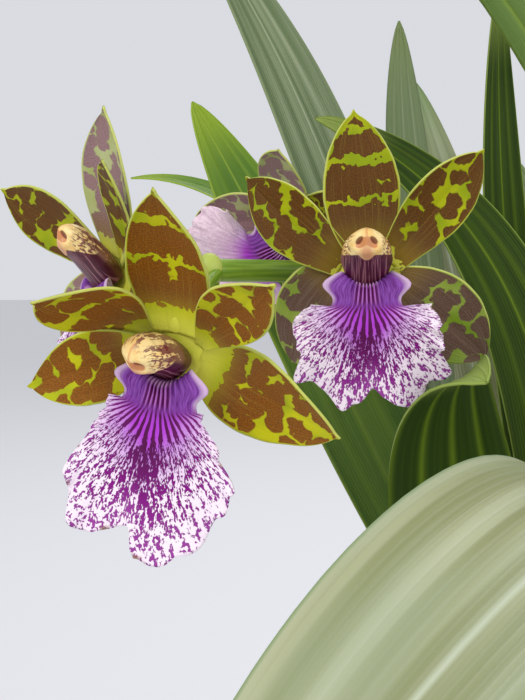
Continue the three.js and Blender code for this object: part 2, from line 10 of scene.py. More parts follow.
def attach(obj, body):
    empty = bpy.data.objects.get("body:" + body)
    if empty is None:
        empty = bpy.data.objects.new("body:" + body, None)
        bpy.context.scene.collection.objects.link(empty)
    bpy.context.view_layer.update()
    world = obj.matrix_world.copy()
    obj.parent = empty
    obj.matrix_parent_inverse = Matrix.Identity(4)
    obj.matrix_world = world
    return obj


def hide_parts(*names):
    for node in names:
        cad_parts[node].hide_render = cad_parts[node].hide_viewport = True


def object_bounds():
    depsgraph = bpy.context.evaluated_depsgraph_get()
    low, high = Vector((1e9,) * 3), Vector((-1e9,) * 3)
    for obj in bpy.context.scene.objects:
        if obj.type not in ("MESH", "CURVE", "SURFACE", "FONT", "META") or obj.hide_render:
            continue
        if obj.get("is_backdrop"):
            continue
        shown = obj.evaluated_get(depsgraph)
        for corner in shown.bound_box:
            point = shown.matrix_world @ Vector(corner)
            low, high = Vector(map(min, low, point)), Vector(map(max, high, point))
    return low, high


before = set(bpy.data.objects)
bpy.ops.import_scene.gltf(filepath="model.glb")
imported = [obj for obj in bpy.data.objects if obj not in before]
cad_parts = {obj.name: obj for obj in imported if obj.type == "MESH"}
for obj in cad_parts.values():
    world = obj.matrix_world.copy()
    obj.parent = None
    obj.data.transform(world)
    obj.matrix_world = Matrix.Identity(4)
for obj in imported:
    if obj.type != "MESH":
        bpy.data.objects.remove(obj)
CAD_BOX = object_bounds()

bl_info = {
    "name": "Potted zygopetalum orchid",
    "version": (1, 0, 0),
    "blender": (4, 5, 0),
    "location": "3D View > Sidebar > Orchid",
    "description": "Dresses a potted zygopetalum: blooms, stalk, leaves, bulbs, bark, pot and a plain stage",
    "category": "Add Mesh",
}

# Shapes are worked out in millimetres and made metres when a piece is finished.
MM = 0.001
FULL_TURN = 2 * math.pi
GAP = 0.35
POT = {
    "foot_r": 47, "rim_r": 70, "height": 106, "wall": 5, "floor": 7, "band_height": 24, "band_out": 3,
    "foot_cut": 2, "rim_cut": 1.5, "rim_lean": 1, "soft": 0.8, "steps": 96,
}
DRAIN = {"r": 4.5, "ring": 25, "count": 4}
BARK = {"top": 93, "dome": 3, "dome_r": 57, "chips_r": 50, "rings": 18, "steps": 64}
# The level that the growths stand on, in the middle of the bark.
GROUND = BARK["top"] + BARK["dome"]
CHIP = {
    "long": (8, 15), "wide": (5, 9), "thick": (3, 5.5), "cut": 0.7, "rough": 1.3, "sink": (-1.5, 1.8),
    "lean": 0.35, "tilt": 0.3,
}
BULB = {"peg": 9, "ribs": 5, "rib_depth": 0.06, "tip": 2.2, "start": 0.13, "end": 0.9, "blunt": 0.85}
HUSK = {"count": 4, "low": 4, "tall": (0.35, 0.75), "wide": (1.1, 1.5), "flare": (0.6, 2.4), "off": 0.5}
LEAF = {"start": 0.015, "early": 1.5, "blunt": 0.65, "fold": 0.22, "pleat": 0.5, "seat": 3.4}
SEEDS = {"chips": 7, "husks": 11}
STALK_R = 3.1
BUD_R = 3.6
TUBE_END = 1.2
STEM_NODES = (0.14, 0.32, 0.58, 0.72, 0.84)
# How many squares the grid of each form has, across or round it and lengthwise.
GRID = {
    "bulb": (60, 60), "husk": (14, 16), "leaf": (28, 110), "stem": (20, 220), "bud": (32, 24),
    "bract": (16, 20), "ovary": (36, 60), "floret_bract": (8, 10), "tepal": (28, 48), "heart": (32, 16),
    "lip": (120, 72), "column": (72, 72),
}

# Growths: where each bulb or young shoot stands, its widest radius and its height.
GROWTHS = {
    "bulb_front": {"at": (14, -16), "r": 14, "height": 50},
    "bulb_right": {"at": (33, 18), "r": 13, "height": 46},
    "bulb_back": {"at": (-8, 30), "r": 13.5, "height": 48},
    "bulb_left": {"at": (-32, 2), "r": 13, "height": 42},
    "bulb_side": {"at": (42, -14), "r": 12, "height": 40},
    "young_shoot": {"at": (27, 44), "r": 9, "height": 30},
}

# Leaves: the growth, length and width, heading (0 is +X, 90 is +Y) and lift above level at the base and the
# tip, the roll taken up on the way to the middle, how late the heading and the lift change, and the finish.
LEAVES = {
    "leaf_left_long": ("bulb_right", (306, 34), (165, 173), (67, 61), -59, 0.8, 0.8, "mid"),
    "leaf_right_tall": ("bulb_right", (319, 16), (60, 187), (77, 90), -82, 0.35, 2, "deep"),
    "leaf_right_arch": ("bulb_right", (270, 30), (-22, 32), (76, -12), 0, 1, 1.6, "mid"),
    "leaf_back_grey": ("bulb_back", (377, 28), (140, 145), (87, 51), -34, 1, 1.25, "grey"),
    "leaf_back_straight": ("bulb_back", (309, 22), (20, 229), (70, 85), 31, 0.6, 0.85, "grey"),
    "leaf_front_arch": ("bulb_front", (298, 25), (84, 205), (87, 14), -58, 1.8, 3.1, "deep"),
    "leaf_front_curl": ("bulb_front", (226, 37), (-165, -74), (74, -15), 31, 2.1, 8.8, "deep"),
    "leaf_near": ("bulb_front", (381, 51.7), (-32, -150), (87, -65), 3, 0.52, 1.48, "pale"),
    "leaf_far_pale": ("young_shoot", (317, 36), (45, 164), (73, 77), -67, 0.35, 1.25, "pale"),
    "leaf_far_arch": ("young_shoot", (355, 16), (130, 153), (74, -4), -25, 0.35, 2.9, "mid"),
    "leaf_far_right": ("young_shoot", (297, 24), (-60, 185), (71, 65), 66, 0.65, 1.2, "pale"),
    "leaf_low_left": ("bulb_left", (215, 29), (160, 172), (52, -66), 0, 1, 1.3, "mid"),
    "leaf_low_front": ("bulb_left", (205, 28), (-100, -135), (54, -66), 0, 1, 1.3, "deep"),
    "leaf_top_right": ("bulb_side", (379, 34), (90, 217), (87, 7), 61, 1.8, 4.3, "mid"),
    "leaf_side_arch": ("bulb_side", (290, 30), (-20, -5), (76, -25), 0, 1, 1.6, "mid"),
    "leaf_side_front": ("bulb_side", (230, 29), (-130, -60), (68, -50), 0, 1, 1.6, "deep"),
}

# The spray: from a hole in the bark, up between the leaves, then level to the left.
SPRAY = [
    (-8, 4, 82), (-9, 4, 165), (-14, 4, 235), (-24, 6, 290), (-33, 9, 326),
    (-43, 9, 347), (-53, 1, 358.5), (-63, -12, 362.5), (-94, -36, 365),
]
SPRAY_BRACTS = [
    {"at": 0.32, "length": 26, "width": 11, "side": 40},
    {"at": 0.58, "length": 24, "width": 10, "side": 200},
]

# Blooms: where each stands, how it is turned, where on the spray it is carried, and how its own petals,
# lip and column differ from the pattern below.
BLOOMS = {
    "bloom_right": {
        "at": (-53, -39, 366), "yaw": -6, "nod": -1, "roll": -1, "from": 0.84,
        "dorsal": {
            "clock": -5, "length": 37, "open": 80, "close": 94, "twist": -14, "start": 0.09, "blunt": 0.63,
        },
        "petal_right": {
            "clock": 39, "length": 36.7, "width": 15.6, "open": 69, "close": 88, "twist": -25, "sweep": 1,
            "start": 0.12, "early": 1.5, "blunt": 0.71,
        },
        "petal_left": {
            "clock": -56, "length": 34.4, "width": 15.9, "open": 69, "close": 111, "twist": 10, "sweep": 15,
            "start": 0.16, "early": 1.5, "blunt": 0.85,
        },
        "sepal_right": {
            "clock": 127, "length": 36.7, "width": 21.6, "open": 86, "close": 121, "twist": -13, "sweep": 9,
            "start": 0.04, "early": 1.02, "blunt": 0.75,
        },
        "sepal_left": {"clock": -137, "length": 32, "width": 22, "open": 92, "close": 138, "sweep": -20},
        "lip": {
            "margin": [
                (-95, 5), (-66, 13.5), (-48, 16.3), (-37, 23.2), (-28, 21.6), (-12, 26.2), (-5, 25),
                (3, 19.6), (9, 23.6), (21, 26.9), (31, 23.1), (45, 23.8), (50, 17.5), (68, 12.4), (95, 7),
            ],
        },
        "column": {},
    },
    "bloom_front": {
        "at": (-99, -80, 351), "yaw": -21, "nod": 19, "roll": 9, "from": 0.99,
        "dorsal": {
            "clock": -1, "length": 37.4, "width": 20.2, "open": 94, "close": 59, "twist": 12, "start": 0.17,
            "early": 1.16, "blunt": 0.84,
        },
        "petal_right": {
            "clock": 34, "length": 37.3, "width": 14.2, "open": 63, "close": 65, "twist": -2, "sweep": 11,
            "start": 0.05, "early": 1.34, "blunt": 0.85,
        },
        "petal_left": {
            "clock": -36, "length": 31.2, "width": 20.5, "open": 69, "close": 20, "twist": 0, "sweep": -15,
            "start": 0.04, "early": 1.4, "blunt": 0.85,
        },
        "sepal_right": {
            "clock": 111, "length": 36, "width": 24.2, "open": 92, "close": 66, "twist": -25, "sweep": -15,
            "start": 0.04, "early": 0.91,
        },
        "sepal_left": {
            "clock": -104, "length": 31.1, "width": 16.6, "open": 55, "close": 90, "twist": -25, "sweep": -15,
            "start": 0.09, "early": 1, "blunt": 0.83,
        },
        "lip": {
            "low": -7, "rise": 20, "face_fall": 62, "fall": 62,
            "margin": [
                (-95, 3), (-72, 5), (-62, 8.5), (-54, 9.7), (-38, 22.5), (-22, 32.3), (-11, 28.4), (-1, 24.8),
                (3, 32), (9, 33), (20, 30.8), (40, 23.8), (51, 20.8), (59, 13), (78, 3), (95, 1.5),
            ],
        },
        "column": {"rise": (50, -8), "turn": 18, "length": 15},
    },
    "bloom_left": {
        "at": (-118, -35, 365), "yaw": -56, "nod": 5, "roll": 1, "from": 1,
        "dorsal": {
            "clock": 21, "length": 40.5, "width": 23.4, "open": 86, "close": 78, "twist": -9, "sweep": -7,
            "start": 0.11, "early": 1.02, "blunt": 0.8,
        },
        "petal_right": {"clock": 38, "open": 77, "close": 58, "twist": -7},
        "petal_left": {
            "length": 36.5, "width": 18.5, "open": 64, "close": 52, "twist": -5, "sweep": -3, "start": 0.13,
            "early": 1.5, "blunt": 0.75,
        },
        "sepal_right": {"clock": 121, "length": 33.5, "open": 76, "close": 68, "twist": -6},
        "sepal_left": {
            "clock": -139, "length": 35, "width": 20.7, "open": 75, "close": 88, "twist": 12, "sweep": -8,
            "start": 0.04, "early": 0.97, "blunt": 0.64,
        },
        "lip": {
            "ear": 1, "face_fall": 80,
            "margin": [
                (-95, 5), (-60, 14), (-35, 19), (-15, 21), (0, 17), (15, 21), (35, 19), (60, 14), (95, 5),
            ],
        },
        "column": {"rise": (57, 38), "length": 20},
    },
    "bloom_back": {
        "at": (-69, 12, 373), "yaw": -32, "nod": 24, "roll": 66, "from": 0.72,
        "dorsal": {"clock": -3, "open": 66, "close": 80},
        "petal_right": {"clock": 30, "length": 30, "open": 112, "close": 106},
        "petal_left": {"length": 34, "open": 64, "close": 60, "early": 1.4, "blunt": 0.55},
        "sepal_right": {"clock": 112, "open": 100, "close": 96},
        "sepal_left": {"clock": -154, "length": 33, "open": 90, "close": 80},
        "lip": {
            "margin": [
                (-95, 10), (-60, 19), (-35, 23), (-15, 24), (0, 19), (15, 22), (30, 15), (60, 9), (95, 4),
            ],
        },
        "column": {},
    },
}

# The pattern of every bloom: clock is the direction seen from the front (0 is up), open and close are the
# angles from the bloom's facing direction at the base and at the tip.
TEPALS = {
    "dorsal": {
        "clock": -4, "seat": 0, "seat_r": 3, "length": 38, "width": 19.5, "start": 0.15, "early": 1.0,
        "blunt": 0.72, "open": 84, "close": 100, "cup": 0.22, "twist": 0, "sweep": 0,
    },
    "petal_right": {
        "clock": 37, "seat": 80, "seat_r": 6, "length": 38, "width": 16.5, "start": 0.09, "early": 1.15,
        "blunt": 0.66, "open": 79, "close": 92, "cup": 0.15, "twist": -8, "sweep": 0,
    },
    "petal_left": {
        "clock": -44, "seat": -80, "seat_r": 6, "length": 36, "width": 16.5, "start": 0.09, "early": 1.15,
        "blunt": 0.66, "open": 72, "close": 88, "cup": 0.15, "twist": 8, "sweep": 0,
    },
    "sepal_right": {
        "clock": 121, "seat": 110, "seat_r": 6, "length": 33, "width": 21, "start": 0.12, "early": 0.9,
        "blunt": 0.62, "open": 88, "close": 112, "cup": 0.2, "twist": 0, "sweep": 0,
    },
    "sepal_left": {
        "clock": -121, "seat": -110, "seat_r": 6, "length": 33, "width": 21, "start": 0.12, "early": 0.9,
        "blunt": 0.62, "open": 88, "close": 112, "cup": 0.2, "twist": 0, "sweep": 0,
    },
}
# The lip: callus is the callus's share of the grid, blade how far the middle line runs on past the waist, and
# span half of the flat map's width.
LIP = {
    "front": 2.3, "low": -6.2, "crest": 6.6, "rise": 20, "face": 6, "face_fall": 66, "fall": 89,
    "base_half": 4.5, "waist_half": 9, "horns": 3.6, "back": 2.5, "ear": 4, "ear_at": 2.2, "ear_long": 1.5,
    "ear_curl": 0.8, "spread": 95, "ruffle": 1.6, "ruffle_waves": 7, "blade": 36, "callus": 0.36, "span": 22,
    "ribs": 15, "veins": 20,
}
COLUMN = {
    "front": 1.8, "low": -2.2, "length": 17.5, "rise": (50, 26), "turn": 0, "dome": 0.84,
    "at": (0, 0.35, 0.7, 0.84, 1), "half": (5.3, 6.6, 5.8, 4.8, 3.4), "over": (3.2, 3.7, 3.6, 3, 2.2),
    "under": (5.6, 4.9, 4.3, 3.9, 2.6),
}
RECEPTACLE = {"r": 7.5, "back": -0.7, "front": 0.3}
# The short foot under the column that the lip is hinged to.
CLAW = {"front": 2.6, "half": 5.0, "low": -6.0, "tall": 2.6}
OVARY = {"length": 17, "neck": 1.6, "belly": 2.7, "ribs": 6, "rib_depth": 0.09}


# ---- Small helpers ----

rad = math.radians
FORWARD = Vector((0, -1, 0))
UP = Vector((0, 0, 1))
SIDE = Vector((1, 0, 0))


def mix(a, b, t):
    return a + (b - a) * t


def smooth(value, low, high):
    t = min(max((value - low) / (high - low), 0), 1)
    return t * t * (3 - 2 * t)


def bump(value, centre, width):
    return math.exp(-(((value - centre) / width) ** 2))


def turned(a, b, angle):
    """The direction a, turned towards b by an angle."""
    return a * math.cos(angle) + b * math.sin(angle)


def along(stations, values, s):
    """Straight steps through the values at the given stations."""
    last = next(i for i, station in enumerate(stations) if station >= s - 1e-9)
    if last == 0:
        return values[0]
    t = (s - stations[last - 1]) / (stations[last] - stations[last - 1])
    return mix(values[last - 1], values[last], t)


def blade_outline(s, start, early, blunt):
    """Half of a blade's width as a share of its widest, s being 0 at the base and 1 at the tip."""
    return max(math.sin(math.pi * (start + (1 - start) * s ** early)), 0) ** blunt


def spine(origin, length, direction, steps=96):
    """Walks a line whose direction changes along its length; returns its point at any share s."""
    points = [Vector(origin)]
    for i in range(steps):
        points.append(points[-1] + direction((i + 0.5) / steps) * (length / steps))

    def at(s):
        place = min(max(s, 0), 1) * steps
        i = min(int(place), steps - 1)
        return points[i].lerp(points[i + 1], place - i)

    return at


class Path:
    """A smooth line through points, by share of its length, with a side and a normal that don't spin."""

    def __init__(self, knots, steps=400):
        knots = [Vector(p) for p in knots]
        fine = [self._point(knots, i / steps) for i in range(steps + 1)]
        lengths = [0.0]
        for a, b in zip(fine, fine[1:]):
            lengths.append(lengths[-1] + (b - a).length)
        self.length = lengths[-1]
        self.steps = steps
        self.points = []
        i = 0
        for k in range(steps + 1):
            reach = self.length * k / steps
            while i < steps - 1 and lengths[i + 1] < reach:
                i += 1
            share = (reach - lengths[i]) / max(lengths[i + 1] - lengths[i], 1e-9)
            self.points.append(fine[i].lerp(fine[i + 1], min(share, 1)))
        self.ways = [
            (self.points[min(k + 1, steps)] - self.points[max(k - 1, 0)]).normalized()
            for k in range(steps + 1)
        ]
        side = self.ways[0].orthogonal().normalized()
        self.sides = []
        for way in self.ways:
            side = (side - way * side.dot(way)).normalized()
            self.sides.append(side)

    @staticmethod
    def _point(knots, t):
        last = len(knots) - 1
        place = last * t
        i = min(int(place), last - 1)
        w = place - i
        p1, p2 = knots[i], knots[i + 1]
        p0 = knots[i - 1] if i > 0 else p1 * 2 - p2
        p3 = knots[i + 2] if i + 2 <= last else p2 * 2 - p1
        d0, d1, d2 = ((b - a).length ** 0.5 for a, b in ((p0, p1), (p1, p2), (p2, p3)))
        t1 = ((p1 - p0) / d0 - (p2 - p0) / (d0 + d1) + (p2 - p1) / d1) * d1
        t2 = ((p2 - p1) / d1 - (p3 - p1) / (d1 + d2) + (p3 - p2) / d2) * d1
        return p1 + t1 * w + (p2 * 3 - p1 * 3 - t1 * 2 - t2) * w * w + (p1 * 2 - p2 * 2 + t1 + t2) * w ** 3

    def _near(self, values, s):
        place = min(max(s, 0), 1) * self.steps
        i = min(int(place), self.steps - 1)
        return values[i].lerp(values[i + 1], place - i)

    def at(self, s):
        return self._near(self.points, s)

    def way(self, s):
        return self._near(self.ways, s).normalized()

    def ring(self, s, turn, r):
        """A point at radius r from the line, at an angle round it."""
        way = self.way(s)
        side = self._near(self.sides, s)
        side = (side - way * side.dot(way)).normalized()
        return self.at(s) + turned(side, way.cross(side), turn) * r


# ---- Meshes ----

def made(name, mesh):
    """An object in metres from a mesh in millimetres, which is used up."""
    bmesh.ops.scale(mesh, vec=(MM, MM, MM), verts=mesh.verts)
    data = bpy.data.meshes.new(name)
    mesh.to_mesh(data)
    mesh.free()
    return bpy.data.objects.new(name, data)


def dress(piece, node, finishes, wall=0.0, offset=0.0):
    """Puts a piece in the scene with its finishes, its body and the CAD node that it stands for. A
    sheet also gets a wall, and the second half of its finishes goes on its back."""
    bpy.context.scene.collection.objects.link(piece)
    for finish in finishes:
        piece.data.materials.append(finish)
    if wall:
        solidify = piece.modifiers.new("wall", "SOLIDIFY")
        solidify.thickness = wall
        solidify.offset = offset
        solidify.use_quality_normals = True
        solidify.material_offset = len(finishes) // 2
    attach(piece, "root")
    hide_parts(node)


class Skin:
    """A piece's mesh while it is made, with the maps that its finish reads."""

    def __init__(self):
        self.mesh = bmesh.new()
        self.spread = self.mesh.loops.layers.uv.new("spread")
        self.flat = self.mesh.loops.layers.uv.new("flat")
        self.traits = self.mesh.verts.layers.float_vector.new("traits")

    def sheet(self, across, lengthwise, place, traits=(0, 0, 0), slot=0, flip=False):
        """An open grid whose corners are moved by place(u, s), u from -1 to 1 and s from 0 to 1. The spread
        map is the place on the grid, and the flat map is what place returns beside the corner."""
        corners = bmesh.ops.create_grid(self.mesh, x_segments=across, y_segments=lengthwise, size=1)["verts"]
        faces = list({face for corner in corners for face in corner.link_faces})
        for corner in corners:
            u, s = corner.co.x, (corner.co.y + 1) / 2
            result = place(u, s)
            point, flat = result if isinstance(result, tuple) else (result, (u, s))
            for loop in corner.link_loops:
                loop[self.spread].uv = ((u + 1) / 2, s)
                loop[self.flat].uv = flat
            corner.co = point
            corner[self.traits] = Vector(traits)
        for face in faces:
            face.smooth = True
            face.material_index = slot
        if flip:
            bmesh.ops.reverse_faces(self.mesh, faces=faces)
        return corners

    def wrap(self, around, lengthwise, place, traits=(0, 0, 0), flip=False):
        """A closed skin round a form by place(turn, s), turn in radians; its two ends close to poles."""
        corners = self.sheet(around, lengthwise, lambda u, s: place(math.pi * (u + 1), s), traits, 0, flip)
        bmesh.ops.remove_doubles(self.mesh, verts=corners, dist=1e-4)

    def hang(self, bloom, closed=False):
        """Turns and moves a part of a bloom to its place. A closed part's faces are first turned outwards."""
        if closed:
            bmesh.ops.recalc_face_normals(self.mesh, faces=self.mesh.faces)
        bmesh.ops.transform(self.mesh, matrix=bloom_matrix(bloom), verts=self.mesh.verts)

    def finish(self, name, node, slot, finishes, wall=0.0, offset=0.0):
        dress(made(name, self.mesh), node, finishes, wall, offset)


def bloom_matrix(bloom):
    matrix = Matrix.Rotation(rad(bloom["yaw"]), 4, "Z") @ Matrix.Rotation(rad(bloom["nod"]), 4, "X")
    return Matrix.Translation(bloom["at"]) @ matrix @ Matrix.Rotation(rad(bloom["roll"]), 4, "Y")


# ---- Finishes ----

def tone(r, g, b):
    """A colour given from 0 to 255, as the light that it reflects."""
    return tuple(((v / 255 + 0.055) / 1.055) ** 2.4 if v > 10 else v / 255 / 12.92 for v in (r, g, b)) + (1,)


def sum_of(operation, swapped=False):
    """A method of Value that adds one Math node."""
    def method(self, *others):
        values = (*others, self) if swapped else (self, *others)
        return self.finish.node("ShaderNodeMath", {"operation": operation}, dict(enumerate(values)))

    return method


class Value:
    """A socket of a finish. Python's operators on it add the Math nodes that work out the sum."""

    __add__, __radd__ = sum_of("ADD"), sum_of("ADD", True)
    __sub__, __rsub__ = sum_of("SUBTRACT"), sum_of("SUBTRACT", True)
    __mul__, __rmul__ = sum_of("MULTIPLY"), sum_of("MULTIPLY", True)
    __truediv__, __pow__, __abs__ = sum_of("DIVIDE"), sum_of("POWER"), sum_of("ABSOLUTE")
    sin, cos, high = sum_of("SINE"), sum_of("COSINE"), sum_of("MAXIMUM")

    def __init__(self, finish, socket):
        self.finish = finish
        self.socket = socket

    def step(self, low, high):
        """Goes softly from 0 to 1 as the value goes from low to high."""
        settings = {"interpolation_type": "SMOOTHSTEP"}
        return self.finish.node("ShaderNodeMapRange", settings, {0: self, 1: low, 2: high, 3: 0, 4: 1})

    def lines(self, power):
        """Even lines where the value's cosine is high, the narrower the higher the power."""
        return (self.cos() * 0.5 + 0.5) ** power


class Finish:
    """A material under construction."""

    def __init__(self, name):
        self.material = bpy.data.materials.new(name)
        self.material.use_nodes = True
        self.tree = self.material.node_tree
        self.shader = next(n for n in self.tree.nodes if n.type == "BSDF_PRINCIPLED")

    def node(self, kind, settings=None, values=None, output=0):
        """Adds a node: its settings first, then the values or links of its sockets. Returns one output."""
        node = self.tree.nodes.new(kind)
        for key, value in (settings or {}).items():
            setattr(node, key, value)
        for key, value in (values or {}).items():
            self.feed(node.inputs[key], value)
        return Value(self, node.outputs[output])

    def feed(self, socket, value):
        if isinstance(value, Value):
            self.tree.links.new(value.socket, socket)
        else:
            socket.default_value = value

    def parts(self, vector):
        """The three numbers of a vector."""
        split = self.node("ShaderNodeSeparateXYZ", None, {0: vector})
        return [Value(self, output) for output in split.socket.node.outputs]

    def map(self, name):
        """The two coordinates of a UV map."""
        return self.parts(self.node("ShaderNodeUVMap", {"uv_map": name}))[:2]

    def traits(self):
        """The three numbers that a part of a piece carries."""
        return self.parts(self.node("ShaderNodeAttribute", {"attribute_name": "traits"}, None, "Vector"))

    def place(self):
        return self.node("ShaderNodeTexCoord", None, None, "Object")

    def vector(self, x, y):
        return self.node("ShaderNodeCombineXYZ", None, {0: x, 1: y})

    def grain(self, x, y, detail=2, rough=0.5):
        """Noise over a map's two coordinates, each with a scale of its own."""
        return self.noise(self.vector(x, y), 1, detail, rough)

    def noise(self, vector, scale, detail=2, rough=0.5, distortion=0):
        values = {"Vector": vector, "Scale": scale, "Detail": detail, "Roughness": rough}
        return self.node("ShaderNodeTexNoise", None, {**values, "Distortion": distortion})

    def blend(self, share, a, b):
        """Colour a turning to colour b."""
        return self.node("ShaderNodeMix", {"data_type": "RGBA"}, {0: share, 6: a, 7: b}, 2)

    def coats(self, colour, *coats):
        """A colour with others laid over it in turn, each by its share."""
        for share, over in coats:
            colour = self.blend(share, colour, over)
        return colour

    def relief(self, height, depth, under=None):
        """A bump of a depth in millimetres, on top of another if one is given."""
        values = {"Height": height, "Distance": depth * MM, "Strength": 1}
        if under is not None:
            values["Normal"] = under
        return self.node("ShaderNodeBump", None, values)

    def close(self, color, roughness, normal=None, **constants):
        """Links the shader and returns the finished material."""
        self.feed(self.shader.inputs["Base Color"], color)
        self.feed(self.shader.inputs["Roughness"], roughness)
        if normal is not None:
            self.feed(self.shader.inputs["Normal"], normal)
        for key, value in constants.items():
            self.shader.inputs[key.replace("_", " ")].default_value = value
        return self.material


# ---- Sizes and colours that a user would change ----

def thickness(name, description, millimetres, least):
    return FloatProperty(
        name=name, description=description, default=millimetres * MM, min=least * MM, unit="LENGTH",
    )


def hue(name, description, r, g, b):
    return FloatVectorProperty(
        name=name, description=description, size=4, subtype="COLOR", default=tone(r, g, b),
    )


class OrchidSizes(bpy.types.PropertyGroup):
    """Sizes of the finer forms."""

    leaf_wall: thickness("Leaf thickness", "Thickness of a leaf", 0.7, 0.3)
    tepal_wall: thickness("Petal thickness", "Thickness of sepals and petals", 0.6, 0.3)
    lip_wall: thickness("Lip thickness", "Thickness of the lips", 0.35, 0.2)
    chips: IntProperty(name="Bark chips", description="How many chips lie on the bark", default=260, min=20)


class OrchidColours(bpy.types.PropertyGroup):
    """Colours of the lips and the pot."""

    violet: hue("Violet", "Streaks on the lip", 132, 8, 128)
    blush: hue("Blush", "Ground colour of the lip's margin", 255, 238, 250)
    clay: hue("Clay", "Colour of the pot", 186, 116, 78)


class OrchidStage(bpy.types.PropertyGroup):
    """Floor, light and camera."""

    floor: hue("Floor", "Colour of the floor", 226, 226, 228)
    lens: FloatProperty(name="Lens", description="Focal length of the camera in millimetres", default=50.0)
    key: FloatProperty(name="Key light", description="Power of the main light", default=9.0, unit="POWER")
    sky: FloatProperty(name="Sky", description="Strength of the light from all round", default=0.75)


# ---- Pot and bark ----

def pot_side(z):
    """The radius of the pot's outside, below its rim band."""
    return mix(POT["foot_r"], POT["rim_r"] - POT["band_out"], z / POT["height"])


def pot_bore(z):
    """The radius of the pot's inside."""
    return pot_side(z) - POT["wall"]


def spun(profile, steps):
    """A closed solid of revolution about the plant's axis: the profile starts and ends on the axis."""
    mesh = bmesh.new()
    corners = [mesh.verts.new((r, 0, z)) for r, z in profile]
    edges = [mesh.edges.new(pair) for pair in zip(corners, corners[1:])]
    bmesh.ops.spin(
        mesh, geom=corners + edges, cent=(0, 0, 0), axis=(0, 0, 1), angle=FULL_TURN, steps=steps,
        use_merge=True, use_duplicate=False,
    )
    bmesh.ops.remove_doubles(mesh, verts=mesh.verts, dist=1e-4)
    bmesh.ops.dissolve_degenerate(mesh, dist=1e-5, edges=mesh.edges)
    bmesh.ops.recalc_face_normals(mesh, faces=mesh.faces)
    return mesh


def clay_finish():
    f = Finish("clay")
    place = f.place()
    height = f.parts(place)[2]
    cloud = f.noise(place, 22, 5, 0.6)
    grain = f.noise(place, 900, 2, 0.7)
    rings = (height * 5200 + cloud * 4).sin()
    bloom = (f.noise(place, 48, 6, 0.65) + height * 1.5).step(0.58, 0.78)
    body = f.coats(
        tuple(bpy.context.scene.orchid_colours.clay),
        (cloud.step(0.3, 0.7), tone(168, 98, 62)),
        (grain.step(0.55, 0.8) * 0.35, tone(206, 150, 112)),
        (bloom * 0.5, tone(222, 200, 180)),
    )
    return f.close(body, 0.82 + 0.12 * bloom, f.relief(rings * 0.25 + grain * 0.6 + cloud, 0.5))


class ORCHID_OT_pot(bpy.types.Operator):
    """Clay pot with a rim band and drain holes"""

    bl_idname = "orchid.pot"
    bl_label = "Pot"

    def execute(self, context):
        height, floor, low, cut = POT["height"], POT["floor"], POT["foot_cut"], POT["rim_cut"]
        band, rim = height - POT["band_height"], POT["rim_r"] - POT["rim_lean"]
        outside = [(pot_side(z), z) for z in (low, band * 0.5, band)]
        inside = [(pot_bore(z), z) for z in (height - 2 * cut, height * 0.5, floor)]
        ledge = [(pot_side(band) + POT["band_out"], band + low), (rim, height - cut), (rim - cut, height)]
        lip = (pot_bore(height) + cut, height)
        profile = [(0, 0), (POT["foot_r"] - low, 0), *outside, *ledge, lip, *inside, (0, floor)]
        pot = made("clay_pot", spun(profile, POT["steps"]))
        context.scene.collection.objects.link(pot)
        holes = bmesh.new()
        for i in range(DRAIN["count"]):
            turn = (i + 0.5) / DRAIN["count"] * FULL_TURN
            middle = (DRAIN["ring"] * math.cos(turn), DRAIN["ring"] * math.sin(turn), floor / 2)
            bmesh.ops.create_cone(
                holes, cap_ends=True, segments=32, radius1=DRAIN["r"], radius2=DRAIN["r"], depth=3 * floor,
                matrix=Matrix.Translation(middle),
            )
        cutter = made("drains", holes)
        context.scene.collection.objects.link(cutter)
        drained = pot.modifiers.new("drains", "BOOLEAN")
        drained.operation = "DIFFERENCE"
        drained.object = cutter
        soft = pot.modifiers.new("soft", "BEVEL")
        soft.width = POT["soft"] * MM
        soft.segments = 3
        soft.limit_method = "ANGLE"
        soft.angle_limit = rad(25)
        context.view_layer.update()
        shaped = bpy.data.meshes.new_from_object(pot.evaluated_get(context.evaluated_depsgraph_get()))
        bpy.data.objects.remove(pot)
        bpy.data.objects.remove(cutter)
        for face in shaped.polygons:
            face.use_smooth = True
        shaped.materials.clear()
        dress(bpy.data.objects.new("clay_pot", shaped), "pot", [clay_finish()])
        return {"FINISHED"}


# The chips' tones by their shade, from 0 to 1.
BARK_TONES = {0: tone(58, 36, 24), 0.35: tone(104, 68, 42), 0.7: tone(142, 98, 62), 1: tone(84, 54, 38)}


def bark_finish():
    """Brown chips, each with a tone by its own shade, and dark grain."""
    f = Finish("bark_chips")
    seed, _, _ = f.traits()
    place = f.place()
    grain = f.noise(place, 420, 4, 0.65, 1.5)
    shade = seed * 0.8 + f.noise(place, 90, 3) * 0.25
    tint = f.node("ShaderNodeValToRGB", None, {0: shade})
    ramp = tint.socket.node.color_ramp
    while len(ramp.elements) < len(BARK_TONES):
        ramp.elements.new(0.5)
    for element, (position, color) in zip(ramp.elements, BARK_TONES.items()):
        element.position = position
        element.color = color
    dark = f.blend(grain.step(0.3, 0.62), tone(42, 27, 19), tint)
    return f.close(dark, 0.9, f.relief(grain, 0.9))


